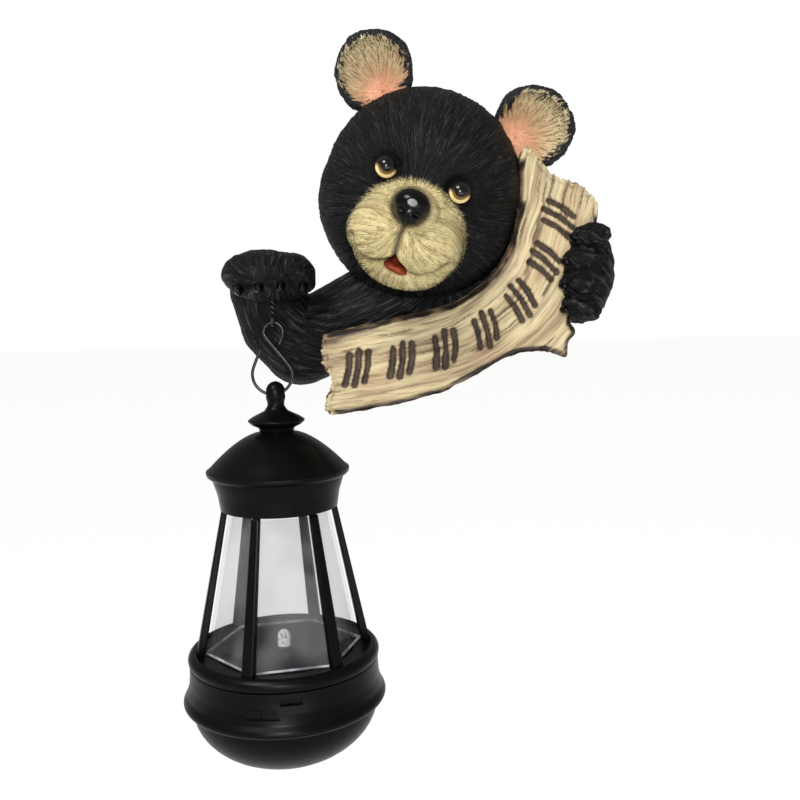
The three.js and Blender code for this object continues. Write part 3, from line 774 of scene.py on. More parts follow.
jowl_width, jaw_length = 0.06, 1.14
skull = blob((-0.3, 0, -0.9), (37.6, 36, 37.6), place=head_frame, segments=96)
for vertex in skull.data.vertices:
    low = max(0.0, -vertex.co.z)
    vertex.co.x *= 1 + jowl_width * math.sin(math.pi * low)
    vertex.co.z *= jaw_length if low else 1
muzzle = blob((0.8, -26.5, -16.8), (20.6, 22, 18.6), place=head_frame)
bridge = blob((0, -40, -8.5), (10, 11, 8.6), (-20, 0, 0), head_frame)
right_cheek = blob((-9, -36.6, -17.8), (11.4, 14.2, 10.9), (0, -16, 0), head_frame)
left_cheek = blob((9.2, -36.4, -17.6), (12.0, 14.2, 11.2), (0, 16, 0), head_frame)
chin = blob((1, -30.8, -23.8), (18.2, 15.0, 12.3), place=head_frame)
head = fuse([skull, muzzle, bridge, right_cheek, left_cheek, chin], 0.58, 6, "head")
points, normals = points_of(head), normals_of(head)
local = in_head(points)
u, depth, v = local.T
front = ease(depth, -14, -24)
print("head:", len(points), "vertices")

# %% [markdown]
# A cream patch covers the muzzle. Its edge is ragged, because the paint follows the hair. Hair
# lies outward from the nose on the patch, and outward from the whole face on the skull.

# %% Lie of the hair and the painted patch
from_face = local - np.array([0, -62, -7])
from_nose = (local - np.array([0, -62, -10])) * np.array([1.7, 0.5, 0.7])
on_chin = ease(v + 0.045 * (u - 1) ** 2, -27, -31)[:, None]
from_nose = from_nose * (1 - on_chin) + (local - np.array([1, -52, -20])) * on_chin
patch_width, patch_height = 20.4, 19.2
patch_place = np.hypot((u - 1.0) / patch_width, (v + 16.8) / patch_height)
on_patch = (ease(patch_place, 1.06, 0.9) * front)[:, None]
flow = from_face * (1 - on_patch) + from_nose * on_patch
flow = along_skin(out_of_head(flow), normals)
strand = combed(points, flow, 0.7, 6.5, 11)
clump = combed(points, flow, 1.7, 11, 12)
wave = combed(points, flow, 0.85, 8, 13)
patch = ease(patch_place, 1.05, 0.96) * front

# %% [markdown]
# Grooves part the two cheeks under the nose and mark the smile, and a wedge of the mouth is open.
# The eye sockets are pressed in. Each groove is a distance to a line, turned into a soft dent.

# %% Face carving
def line_distance(x, y, line):
    nearest = np.full(len(x), 1e9)
    for (x0, y0), (x1, y1) in zip(line, line[1:]):
        dx, dy = x1 - x0, y1 - y0
        t = np.clip(((x - x0) * dx + (y - y0) * dy) / (dx * dx + dy * dy), 0, 1)
        nearest = np.minimum(nearest, np.hypot(x - x0 - t * dx, y - y0 - t * dy))
    return nearest


philtrum = [(-0.2, -10.5), (-0.8, -15.5), (-0.8, -19), (-0.4, -24.6)]
smile = [(-17.2, -21.8), (-14.2, -25.9), (-11.8, -27.4), (-9.4, -28.1), (-6.5, -27.8), (-4.2, -27),
         (-0.4, -24.8), (1.9, -26.1), (5.8, -28.4), (9.1, -28.1), (12.3, -26.5), (15.2, -24.2),
         (18.6, -20.8)]
mouth_middle, mouth_width, mouth_height = 0.7, 5.2, 2.35
mouth_slope = 0.14 * (u - mouth_middle)
mouth_place = np.hypot((u - mouth_middle) / mouth_width, (v + 28.0 + mouth_slope) / mouth_height)
groove = np.exp(-(line_distance(u, v, philtrum) / 1.05) ** 2) * front
smile_gap = line_distance(u, v, smile)
crease = np.exp(-(smile_gap / 0.95) ** 2) * front
under = ease(v - np.interp(u, *np.array(smile).T), 0.4, -0.4)
lip = (0.9 * (1 - under) - 1.9 * under) * np.exp(-(smile_gap / 3) ** 2)
lip = lip * front * ease(np.abs(u - mouth_middle), 18, 13)
mouth = ease(mouth_place, 1.08, 0.82) * front
eye_apart, eye_level = 13.5, 3.0
sockets = [np.array([side * eye_apart, -31.9, eye_level]) for side in (-1, 1)]
eye_distance = np.minimum(*(np.linalg.norm((local - eye) * [1, 0.4, 1], axis=1) for eye in sockets))
socket = ease(eye_distance, 6.6, 4.0) * front
brow = np.exp(-((eye_distance - 7.2) / 1.3) ** 2) * front

fur_depth = (1 - patch) * (0.34 * (strand - 0.5) + 0.16 * (clump - 0.5)) + patch * 0.32 * (wave - 0.5)
fur_depth *= 1 - 0.85 * np.maximum(socket, mouth)
dent = -1.6 * groove - 2.3 * crease + lip - 4.2 * mouth - 1.5 * socket + 0.35 * brow
reshape_to(head, points + normals * (fur_depth + dent)[:, None])
nose_place = np.hypot((u + 0.4) / 6.4, (v + 6.6) / 6.0)
# Dark round the nose, and painted shade in the creases of the philtrum and the smile.
nose_ring_and_crease_shade = np.maximum.reduce([
    0.9 * ease(nose_place, 1.28, 0.95) * front,
    0.85 * np.exp(-(line_distance(u, v, philtrum) / 1.0) ** 2) * front,
    0.8 * np.exp(-(smile_gap / 0.6) ** 2) * front,
])
store_vectors(head, flow=flow)
cover = ease(front, 0.1, 0.3) * np.clip(2 - patch_place, 0, 2)
shade = ease(eye_distance, 12.5, 5.5) * front
store(head, strand=strand, wave=wave, cover=cover, dark=nose_ring_and_crease_shade, mouth=mouth, shade=shade)

# %% [markdown]
# The back of the casting lies flat on the wall, because no sculpted point may pass the wall's
# plane. A keyhole for the screw is cut in it: a round mouth for the head, and a slot above it. The
# cutter is a slab: an outline drawn point by point with extrude, filled, and extruded to its depth.

# %% Slab
def slab(outline, front, depth, name):
    """A flat plate that stands upright: an outline of (x, z) pairs, extruded backwards from front."""
    bpy.ops.object.select_all(action="DESELECT")
    first = (outline[0][0] * MM, front * MM, outline[0][1] * MM)
    bpy.ops.mesh.primitive_plane_add(size=0.001, location=first)
    piece = bpy.context.object
    bpy.ops.object.transform_apply(location=True)
    bpy.ops.object.mode_set(mode="EDIT")
    bpy.ops.mesh.select_all(action="SELECT")
    bpy.ops.mesh.merge(type="CENTER")
    for (x0, z0), (x1, z1) in zip(outline, outline[1:]):
        move = ((x1 - x0) * MM, 0, (z1 - z0) * MM)
        bpy.ops.mesh.extrude_region_move(TRANSFORM_OT_translate={"value": move})
    bpy.ops.mesh.select_all(action="SELECT")
    bpy.ops.mesh.edge_face_add()
    bpy.ops.mesh.extrude_region_move(TRANSFORM_OT_translate={"value": (0, depth * MM, 0)})
    bpy.ops.mesh.select_all(action="SELECT")
    bpy.ops.mesh.normals_make_consistent(inside=False)
    bpy.ops.object.mode_set(mode="OBJECT")
    return settle(piece, name)


# %% Keyhole
round_radius, round_level = 4.6, -14
slot_radius, slot_level = 2.4, -5
keyhole_depth = 6.4


def ring_points(centre, radius, start, end, steps):
    angles = [math.radians(start + (end - start) * i / steps) for i in range(steps + 1)]
    return [(centre[0] + radius * math.cos(a), centre[1] + radius * math.sin(a)) for a in angles]


keyhole_outline = ring_points((0, round_level), round_radius, 121.4, 418.6, 24)
keyhole_outline += ring_points((0, slot_level), slot_radius, 0, 180, 12)
cut_away(head, slab(keyhole_outline, -keyhole_depth, 7, "keyhole"))

# %% [markdown]
# The cut leaves new points, and Blender gives them masks borrowed from the face, so the keyhole
# would be painted cream. Its points are therefore set back to the plain black coat.

# %% Black paint in the keyhole
margin = 0.1
x, y, z = points_of(head).T
in_hole = (np.abs(x) < round_radius + margin) & (y > -keyhole_depth - margin)
in_hole &= (z > round_level - round_radius - margin) & (z < slot_level + slot_radius + margin)
values = np.empty(len(x), dtype=np.float32)
for name in ("strand", "wave", "cover", "dark", "mouth", "shade"):
    layer = head.data.attributes[name]
    layer.data.foreach_get("value", values)
    values[in_hole] = 0
    layer.data.foreach_set("value", values)
ways = np.empty(3 * len(x), dtype=np.float32)
layer = head.data.attributes["flow"]
layer.data.foreach_get("vector", ways)
ways.reshape(-1, 3)[in_hole] = (0, 0, 1)
layer.data.foreach_set("vector", ways)
print("head with its keyhole:", len(x), "vertices,", in_hole.sum(), "of them in the hole")

# %% [markdown]
# Painted resin: black, with grey dry-brushed on the ridges; khaki cream on the muzzle, with brown
# left in the grooves. A dark ring runs round the nose, painted shade darkens the philtrum and the
# smile, and round the eyes the black is duller, without the grey.

# %% Fur paint
BLACK_HAIR = [
    (0.34, (0.0009, 0.0009, 0.0011)), (0.60, (0.0036, 0.0037, 0.0041)), (0.90, (0.027, 0.028, 0.030)),
]
DULL_BLACK = (0.0015, 0.0015, 0.0017)
CREAM_HAIR = [(0.26, (0.085, 0.052, 0.020)), (0.47, (0.265, 0.212, 0.098)), (0.74, (0.435, 0.372, 0.200))]


def jittered(made, value, hairs, amount):
    """A mask's value pushed up and down by the hairs, so that its edge is ragged."""
    node = add_node(made, "ShaderNodeMath", operation="MULTIPLY_ADD")
    wire(made, hairs, node.inputs[0])
    node.inputs[1].default_value = amount
    wire(made, value, node.inputs[2])
    return node.outputs[0]


def hair_finish(made, width=0.36, length=5.0, depth=0.00030, seed=0.0):
    """Fine combed hair: gives the strands' values, and a bump along them."""
    hairs = combed_noise(made, width * MM, length * MM, seed=seed)
    bump(made, hairs, depth, 1.0)
    return hairs


fur = material("painted_fur", (0.01, 0.01, 0.01), 0.5, Specular_IOR_Level=0.1)
hairs = hair_finish(fur)
both = mixed(fur, 0.22, hairs, attribute(fur, "strand"))
shaded = mixed(fur, attribute(fur, "shade"), ramp(fur, both, BLACK_HAIR), DULL_BLACK)
cream = ramp(fur, mixed(fur, 0.38, hairs, attribute(fur, "wave")), CREAM_HAIR)
stain = ramp(fur, noise(fur, 45.0, 3.0), [(0.35, (0.62, 0.52, 0.27)), (0.7, (0.40, 0.34, 0.16))])
cream = mixed(fur, 0.28, cream, stain)
patch_edge = spread(fur, jittered(fur, attribute(fur, "cover"), hairs, 0.11), 1.01, 1.12)
coat = mixed(fur, patch_edge, shaded, cream)
# The dark mask: a dark ring round the nose, and painted shade in the philtrum and smile creases.
coat = mixed(fur, attribute(fur, "dark"), coat, (0.010, 0.007, 0.005))
coat = mixed(fur, attribute(fur, "mouth"), coat, (0.10, 0.012, 0.006))
drive(fur, "Base Color", coat)
drive(fur, "Roughness", spread(fur, hairs, 0, 1, 0.62, 0.46))
finish(head, fur, "painted_resin", "bear_and_board")


# %% [markdown]
# Each ear is a thick dish of fur. It starts as a flattened ball with a second ball cut out of its
# front. The hair fans out from the root of the ear, and ends in ragged tufts round the rim.

# %% Ears
def make_ear(side):
    place = np.array([side * 31.9, 3, 34.3])
    inward = -place * [1, 0, 1] / math.hypot(place[0], place[2])
    dish_place = place + inward * 1.8 + [0, -6.2, 0]
    ear = blob(place, (15.0, 8, 14.7), place=head_frame, segments=64)
    dish = blob(dish_place, (13.5, 8.4, 13.1), place=head_frame, segments=64)
    settle(ear, sided("ear", side))
    cut_away(ear, settle(dish, "dish"))
    apply_modifier(ear, "REMESH", mode="VOXEL", voxel_size=0.42 * MM, use_smooth_shade=True)
    apply_modifier(ear, "SMOOTH", factor=0.5, iterations=12)
    points, normals = points_of(ear), normals_of(ear)
    local = in_head(points) - place
    x, y, z = local.T
    root = inward * 8.5
    flow = along_skin(out_of_head(local - root - [0, 4, 0]), normals)
    strand = combed(points, flow, 0.62, 5.5, 21 + side)
    tuft = combed(points, flow, 1.9, 9, 31 + side)
    rim = np.hypot(x / 15.6, z / 15.3)
    from_root = np.hypot(x - root[0], z - root[2])
    facing = (normals @ from_head[:3, :3])[:, 1]
    inner = ease(facing, 0.25, -0.05)
    edge = ease(rim, 0.80, 0.97)
    outward = np.stack([x, np.zeros_like(x), z], axis=1)
    outward /= np.linalg.norm(outward, axis=1, keepdims=True)
    soft_root = ease(from_root, 3.5, 8.5)
    relief = (0.26 * (strand - 0.5) + 0.18 * (tuft - 0.5)) * soft_root
    ragged = edge * (1.35 * (tuft - 0.42) + 0.5 * (strand - 0.5))
    tufts = out_of_head(outward * ragged[:, None])
    reshape_to(ear, points + normals * relief[:, None] + tufts)
    reach_out = rim + 0.24 * (strand - 0.5) + 0.12 * (tuft - 0.5)
    store_vectors(ear, flow=flow)
    store(ear, inner=inner, reach=reach_out, root=from_root / 15 + 0.2 * (strand - 0.5),
          gloss=ease(from_root, 8.5, 2.5) * inner)
    return ear


ear_fur = material("ear_fur", (0.01, 0.01, 0.01), 0.5, Specular_IOR_Level=0.22)
hairs = hair_finish(ear_fur, 0.48, 7.0, seed=3.0)
ear_black = ramp(ear_fur, hairs, BLACK_HAIR)
ear_cream = ramp(ear_fur, hairs, [
    (0.2, (0.11, 0.075, 0.04)), (0.42, (0.31, 0.24, 0.125)), (0.74, (0.48, 0.412, 0.255)),
])
ear_flesh = ramp(ear_fur, noise(ear_fur, 90.0, 3.0), [(0.3, (0.40, 0.16, 0.09)), (0.7, (0.56, 0.28, 0.17))])
flesh_edge = jittered(ear_fur, attribute(ear_fur, "root"), hairs, -0.45)
flesh = spread(ear_fur, flesh_edge, 0.40, -0.06)
tan_edge = jittered(ear_fur, attribute(ear_fur, "root"), hairs, -0.3)
tan = spread(ear_fur, tan_edge, 1.0, 0.34, 0, 0.9)
lining = mixed(ear_fur, tan, ear_cream, (0.31, 0.17, 0.085))
lining = mixed(ear_fur, flesh, lining, ear_flesh)
rays = spread(ear_fur, jittered(ear_fur, attribute(ear_fur, "reach"), hairs, -0.16), 0.75, 0.64)
gate = add_node(ear_fur, "ShaderNodeMath", operation="MULTIPLY")
wire(ear_fur, rays, gate.inputs[0])
wire(ear_fur, attribute(ear_fur, "inner"), gate.inputs[1])
drive(ear_fur, "Base Color", mixed(ear_fur, gate.outputs[0], ear_black, lining))
drive(ear_fur, "Roughness", spread(ear_fur, attribute(ear_fur, "gloss"), 0, 1, 0.55, 0.16))
for side in (-1, 1):
    ear = make_ear(side)
    finish(ear, ear_fur, "painted_resin", "bear_and_board")
    print(ear.name, len(ear.data.vertices), "vertices")

# %% [markdown]
# The eyes are glossy balls: a black pupil, a brown iris that turns amber, and a cream crescent
# below. They are painted with masks that measure the angle from the line of sight.

# %% Eyes
eye_radius = 4.05


def make_eye(side):
    centre = (side * eye_apart, -32.3, eye_level)
    eye = blob(centre, [eye_radius] * 3, place=head_frame, segments=72)
    settle(eye, sided("eye", side))
    shade_smooth(eye)
    rays = (in_head(points_of(eye)) - centre) / eye_radius
    sight = np.array([0.10, -0.97, 0.17])
    sight /= np.linalg.norm(sight)
    angle = np.degrees(np.arccos(np.clip(rays @ sight, -1, 1)))
    height = rays[:, 2] - sight[2] * 0.9
    bulge = 0.14 * np.exp(-(angle / 24) ** 2)
    reshape_to(eye, points_of(eye) + out_of_head(rays) * bulge[:, None])
    store(eye, pupil=ease(angle, 35, 29), iris=ease(angle, 52, 44), low=ease(height, 0.0, -0.5),
          rim=ease(angle, 70, 76))
    return eye


eye_paint = material("eye_paint", (0.02, 0.01, 0.006), 0.16, Specular_IOR_Level=0.22,
                     Coat_Weight=0.12, Coat_Roughness=0.10)
iris_color = mixed(eye_paint, attribute(eye_paint, "low"), (0.008, 0.004, 0.002), (0.15, 0.080, 0.022))
flecks = ramp(eye_paint, noise(eye_paint, 700.0, 4.0), [(0.35, (0.75, 0.75, 0.75)), (0.65, (1, 1, 1))])
fleck = add_node(eye_paint, "ShaderNodeMix", data_type="RGBA", blend_type="MULTIPLY")
fleck.inputs[0].default_value = 0.7
wire(eye_paint, iris_color, fleck.inputs[6])
wire(eye_paint, flecks, fleck.inputs[7])
white_color = mixed(eye_paint, attribute(eye_paint, "low"), (0.006, 0.004, 0.003), (0.66, 0.52, 0.25))
eye_color = mixed(eye_paint, attribute(eye_paint, "iris"), white_color, fleck.outputs[2])
eye_color = mixed(eye_paint, attribute(eye_paint, "pupil"), eye_color, (0.003, 0.003, 0.003))
eye_color = mixed(eye_paint, attribute(eye_paint, "rim"), eye_color, (0.01, 0.008, 0.006))
drive(eye_paint, "Base Color", eye_color)
for side in (-1, 1):
    finish(make_eye(side), eye_paint, "painted_resin", "bear_and_board")

# %% [markdown]
# The nose is a glossy rounded triangle with two nostrils pressed in. The tongue lies in the open
# wedge of the mouth.

# %% Nose and tongue
nose_top = blob((0, -50.5, -5.3), (6.1, 4.9, 4.7), place=head_frame)
nose_tip = blob((0, -50.6, -8.4), (4.3, 4.7, 4.2), place=head_frame)
nose = fuse([nose_top, nose_tip], 0.28, 8, "nose")
points, normals = points_of(nose), normals_of(nose)
local = in_head(points)
nostril = np.zeros(len(points))
for side in (-1, 1):
    hole = np.linalg.norm((local - [side * 2.7, -54.8, -8.2]) / [1.5, 3.0, 1.1], axis=1)
    nostril = np.maximum(nostril, ease(hole, 1.25, 0.3))
cleft = np.exp(-(local[:, 0] / 0.5) ** 2) * ease(local[:, 2], -7.6, -10) * ease(local[:, 1], -50, -53)
reshape_to(nose, points - normals * (1.0 * nostril + 0.4 * cleft)[:, None])
nose_paint = material("nose_paint", (0.0010, 0.0010, 0.0012), 0.22, Specular_IOR_Level=0.15)
nose_sheen = noise(nose_paint, 200.0, 2.0)
drive(nose_paint, "Roughness", spread(nose_paint, nose_sheen, 0.3, 0.7, 0.19, 0.27))
finish(nose, nose_paint, "painted_resin", "bear_and_board")

tongue_middle = 0.9
tongue = blob((tongue_middle, -41.2, -28.1), (4.6, 2.9, 1.7), (0, 8, 0), head_frame)
settle(tongue, "tongue")
points = points_of(tongue)
fold = np.exp(-((in_head(points)[:, 0] - tongue_middle) / 0.9) ** 2)
reshape_to(tongue, points - normals_of(tongue) * 0.35 * fold[:, None])
shade_smooth(tongue)
tongue_paint = material("tongue_paint", (0.30, 0.04, 0.016), 0.45, Specular_IOR_Level=0.2)
tongue_color = ramp(tongue_paint, noise(tongue_paint, 300.0, 3.0), [
    (0.3, (0.10, 0.014, 0.005)), (0.7, (0.17, 0.026, 0.009)),
])
drive(tongue_paint, "Base Color", tongue_color)
finish(tongue, tongue_paint, "painted_resin", "bear_and_board")

# %% [markdown]
# The body and both arms are one skin. The near arm reaches out to the bear's right, bends at the
# elbow and droops its paw over the lantern. The far arm passes behind the board and grips its edge.

# %% Body and arms
near_shoulder, near_elbow, near_bend, near_wrist = (
    (0, -20, -49), (-43.4, -22, -70), (-51.6, -24, -61), (-56, -30, -48.5),
)
far_shoulder, far_wrist = (28, -17, -54), (62, -26, -46)
chest = blob((14, -14, -45), (38, 20, 33), segments=72)
near_arm = (
    limb(near_shoulder, 18, near_elbow, 16) + limb(near_elbow, 15.8, near_bend, 15.6)
    + limb(near_bend, 15.6, near_wrist, 13.6)
)
near_paw = blob((-52.9, -45, -43.2), (16.9, 16, 9.7), (0, 4, 0), segments=72)
near_paw_side = blob((-44.4, -45, -43.4), (9.6, 14, 8.6))
far_arm = limb(far_shoulder, 15, far_wrist, 12.5)
far_paw = blob((66.6, -37, -45), (10.8, 14.5, 18.6), (0, 7, 0), segments=72)
masses = [chest, *near_arm, near_paw, near_paw_side, *far_arm, far_paw]

# %% Toes and fingers
toe_places = [
    (-61.2 + 7.6 * i, -56 + 1.7 * abs(i - 1.2) ** 1.3, -46.4 + 0.9 * i - 0.22 * i**2)
    for i in range(4)
]
masses += [blob(place, (4.3, 6, 4.3), (-12, 0, 0)) for place in toe_places]
finger_places = [
    (62.3 + shift, -48, -31.6 - 8.6 * i) for i, shift in enumerate((4.5, 1.6, 0.8, 1.2))
]
masses += [
    blob(place, (7.6, 6.6, 4.8), (0, -8 + 9 * i, -18)) for i, place in enumerate(finger_places)
]
between_fingers = blob((66, -44.5, -44.5), (7.5, 7.4, 15.5), (0, 8, 0))
masses.append(between_fingers)
arms = fuse(masses, 0.62, 7, "body_and_arms")
print("body and arms:", len(arms.data.vertices), "vertices")

# %% [markdown]
# The hair lies along the nearest length of limb, from the shoulder to the toes. On the far paw it
# slants across the back of the hand, and there the comb leaves deeper, longer ridges.

# %% Hair of the body and arms
bones = [
    ((14, -14, -30), (14, -14, -60)),
    (near_shoulder, near_elbow),
    (near_elbow, near_bend),
    (near_bend, near_wrist),
    ((-56, -24, -42), (-51, -62, -46)),
    (far_shoulder, far_wrist),
    ((78, -20, -42), (72, -45, -46)),
    ((82, -30, -56), (60, -52, -40)),
]
points, normals = points_of(arms), normals_of(arms)
pull = np.zeros_like(points)
for start, end in bones:
    a, b = np.array(start, float), np.array(end, float)
    way = (b - a) / np.linalg.norm(b - a)
    t = np.clip((points - a) @ way, 0, np.linalg.norm(b - a))
    far = np.linalg.norm(points - a - t[:, None] * way, axis=1)
    pull += way / (far[:, None] ** 4 + 1)
flow = along_skin(pull, normals)
on_paw = ease(points[:, 0], 50, 58)
slant = along_skin(np.tile((0.82, 0.2, -0.54), (len(points), 1)), normals)
flow = along_skin(flow * (1 - on_paw[:, None]) + slant * on_paw[:, None], normals)
strand = combed(points, flow, 0.85, 7.5, 41)
clump = combed(points, flow, 2.3, 13, 42)
swirl = lattice_noise(points, 9, 43)
relief = 0.34 * (strand - 0.5) + (0.1 + 0.4 * swirl) * (clump - 0.5)
ridge = combed(points, flow, 1.0, 13, 44)
relief = relief * (1 - 0.7 * on_paw) + 1.0 * on_paw * (ridge - 0.5)
strand = strand * (1 - on_paw) + on_paw * np.clip(0.5 + 1.5 * (ridge - 0.5), 0, 1)
reshape_to(arms, points + normals * relief[:, None], gap=0.15)
store_vectors(arms, flow=flow)
store(arms, strand=strand)

# %% Paint of the body and arms
arm_fur = material("arm_fur", (0.01, 0.01, 0.01), 0.5, Specular_IOR_Level=0.1)
hairs = hair_finish(arm_fur, 0.45, 6.5, seed=7.0)
arm_coat = ramp(arm_fur, mixed(arm_fur, 0.5, hairs, attribute(arm_fur, "strand")), [
    (0.30, (0.0009, 0.0009, 0.0011)), (0.58, (0.0028, 0.0030, 0.0034)), (0.84, (0.028, 0.030, 0.033)),
])
drive(arm_fur, "Base Color", arm_coat)
drive(arm_fur, "Roughness", spread(arm_fur, hairs, 0, 1, 0.6, 0.44))
finish(arms, arm_fur, "painted_resin", "bear_and_board")

# %% [markdown]
# Short glossy claws end the toes and fingers. Each is a ball drawn out to a blunt point.

# %% Claws
def make_claw(place, radii, turn, name):
    claw = settle(blob(place, radii, turn, segments=24), name)
    shade_smooth(claw)
    points = points_of(claw)
    ahead = ease(points[:, 1], points[:, 1].max(), points[:, 1].min())
    middle = points.mean(axis=0)
    narrow = 1 - 0.35 * ahead[:, None] * np.array([1, 0, 1])
    points = middle + (points - middle) * narrow
    points[:, 2] -= 0.5 * ahead**2
    reshape_to(claw, points)
    return claw


claws = []
for i, (x, y, z) in enumerate(toe_places):
    place = (x, y - 5.4, z - 1.9)
    claws.append(make_claw(place, (2.0, 3.2, 2.4), (38, 0, 0), f"toe_claw_{i + 1}"))
for i, (x, y, z) in enumerate(finger_places):
    place = (x - 6.2, -49.6, z - 0.2 * i)
    claws.append(make_claw(place, (2.6, 2.5, 2.0), (0, 0, 24), f"finger_claw_{i + 1}"))
for claw in claws:
    finish(claw, nose_paint, "painted_resin", "bear_and_board")

# %% [markdown]
# The board is a slab of timber with torn ends and bark left on its edge. Its outline is traced
# point by point, filled and extruded, and remeshed finely enough to take the grain.

# %% Board outline
inner_edge = [(-33, -65.6), (-19.6, -63), (-5.2, -60), (5.6, -57.6), (16.4, -55), (25, -50),
              (32.4, -43), (38, -33.8), (40.8, -23.4), (41.8, -12), (42, -1.6)]
top_edge = [(42, -1.6), (44, 1.4), (48.6, -2.4), (51.9, -7.1), (56.1, -9.9), (62.5, -12.1),
            (69.3, -17.6), (70.6, -22.8)]
outer_edge = [(70.6, -22.8), (70, -27.5), (66, -40), (62.4, -52), (60.2, -62), (62.2, -66.6),
              (59.6, -70.5), (58.8, -76)]
lower_edge = [(58.8, -76), (52.2, -73.8), (45, -73.4), (37.8, -75), (30.6, -78.2), (23.3, -82.4),
              (12.4, -87.7), (1.4, -91), (-9.5, -93.2), (-20.4, -94.8), (-30.6, -96)]
torn_edge = [(-30.6, -96), (-32.8, -93.4), (-32, -89), (-29.4, -84), (-30.2, -81.6), (-33, -77.4),
             (-33.6, -72), (-33, -65.6)]
middle_line = [(-28, -79.5), (-8, -76.5), (12, -72), (27, -65.5), (40, -56), (49.5, -42),
               (55, -27), (58, -16)]


def spline(knots, pieces):
    """A smooth line through all of the knots."""
    knots = [np.array(k, float) for k in knots]
    padded = [2 * knots[0] - knots[1]] + knots + [2 * knots[-1] - knots[-2]]
    line = []
    for p0, p1, p2, p3 in zip(padded, padded[1:], padded[2:], padded[3:]):
        for i in range(pieces):
            t = i / pieces
            line.append(0.5 * (2 * p1 + (p2 - p0) * t + (2 * p0 - 5 * p1 + 4 * p2 - p3) * t**2
                               + (3 * p1 - p0 - 3 * p2 + p3) * t**3))
    return np.array(line + [knots[-1]])


inner_line, lower_line = spline(inner_edge, 6), spline(lower_edge, 6)
top_line, outer_line = spline(top_edge, 4), spline(outer_edge, 4)
torn_line = np.array(torn_edge, float)
outline = np.vstack([line[:-1] for line in (inner_line, top_line, outer_line, lower_line, torn_line)])
board_front, board_depth = -44.5, 9

# %% Board blank
board = slab(outline, board_front, board_depth, "board")
apply_modifier(board, "REMESH", mode="VOXEL", voxel_size=0.5 * MM, use_smooth_shade=True)
apply_modifier(board, "SMOOTH", factor=0.5, iterations=2)
print("board:", len(board.data.vertices), "vertices")

# %% [markdown]
# The grain runs along the board and curves with it. Each point is therefore measured along and
# across a line down the board's middle, and random streaks are drawn in those measures.

# %% Along and across the board
points, normals = points_of(board), normals_of(board)
x, y, z = points.T
edge_gap = line_distance(x, z, np.vstack([outline, outline[:1]]))
torn_gap = np.minimum(line_distance(x, z, torn_line), line_distance(x, z, top_line))
inner_gap = line_distance(x, z, inner_line)
face = ease(y, board_front + 2.5, board_front + 0.5)

axis_line = spline(middle_line, 24)
axis_line = np.vstack([2 * axis_line[0] - axis_line[12], axis_line, 6 * axis_line[-1] - 5 * axis_line[-8]])
steps = np.diff(axis_line, axis=0)
lengths = np.hypot(*steps.T)
reach = np.concatenate([[0], np.cumsum(lengths)])
along, across = np.zeros(len(x)), np.full(len(x), 1e3)
run_x, run_z = np.ones(len(x)), np.zeros(len(x))
for (x0, z0), (dx, dz), length, start in zip(axis_line, steps, lengths, reach):
    t = np.clip(((x - x0) * dx + (z - z0) * dz) / length**2, 0, 1)
    gap = np.hypot(x - x0 - t * dx, z - z0 - t * dz)
    closer = gap < np.abs(across)
    above = np.sign((z - z0) * dx - (x - x0) * dz)
    along = np.where(closer, start + t * length, along)
    across = np.where(closer, gap * above, across)
    run_x, run_z = np.where(closer, dx / length, run_x), np.where(closer, dz / length, run_z)
across += 1.6 * (lattice_noise(points, 15, 51) - 0.5) + 0.5 * (lattice_noise(points, 4, 50) - 0.5)


def streaks(width, length, seed):
    """Random streaks that run along the timber."""
    places = np.stack([along / length, across / width, y / width], axis=1)
    finer = lattice_noise(places * 2, 1.0, seed + 9)
    return evened(lattice_noise(places, 1.0, seed) + 0.5 * finer)


grain_fine = streaks(0.8, 11, 52)
grain_wide = streaks(2.6, 22, 53)
crack = ease(streaks(1.3, 16, 54), 0.16, 0.04)
bark_rough = streaks(1.5, 6, 56)

# %% [markdown]
# The face of the board falls away to bark at its edges, and its torn ends splinter. Rows of plain
# strokes are pressed in, three by three, each as a soft dent round a short line.

# %% Bark and strokes
stroke_groups, in_group, stroke_apart = 7, 3, 2.1 * 1.75


def stroke_lines():
    """Centre lines of the strokes: groups of three across the board's middle line."""
    strokes = []
    first, last = reach[1], reach[-2]
    for i in range(stroke_groups * in_group):
        group, place = divmod(i, in_group)
        place -= 1
        at = first + (0.07 + 0.86 * group / (stroke_groups - 1)) * (last - first)
        k = int(np.searchsorted(reach, at)) - 1
        point, way = axis_line[k], steps[k] / np.hypot(*steps[k])
        lean = math.atan2(way[0], way[1]) + math.pi / 2 + 0.3
        line = np.array([math.sin(lean), math.cos(lean)])
        middle = point + place * stroke_apart * way
        half = 6.6 * (1 - 0.16 * abs(place) - 0.05 * (group % 2))
        strokes.append([middle - line * half, middle + 0.6 * way, middle + line * half])
    return strokes


stroke_gap = np.full(len(points), 99.0)
for line in stroke_lines():
    stroke_gap = np.minimum(stroke_gap, line_distance(x, z, [tuple(p) for p in line]))
stroke_gap += 0.3 * (grain_fine - 0.5) + 0.7 * (lattice_noise(points, 4.5, 57) - 0.5)
marks = ease(stroke_gap, 1.45, 1.05) * face
bark_gap = edge_gap + 1.1 * (bark_rough - 0.5)
drop = 3.0 * np.clip(1 - edge_gap / 1.9, 0, 1) ** 1.3 * face * ease(torn_gap, 0.6, 2.2)
relief = (0.30 * (grain_fine - 0.5) + 0.30 * (grain_wide - 0.5) - 0.5 * crack) * face
relief -= 0.9 * ease(stroke_gap, 1.5, 0.2) * face
side = (1 - face) + ease(edge_gap, 1.6, 0.4) * face
relief += 0.9 * (bark_rough - 0.5) * np.clip(side, 0, 1)
splinter = ease(torn_gap, 2.4, 0.2) * (grain_fine - 0.55)
outward = 1.3 * np.sign(run_x * (x - 15) + run_z * (z + 55))
moved = points + normals * relief[:, None]
moved[:, 0] += outward * splinter * run_x
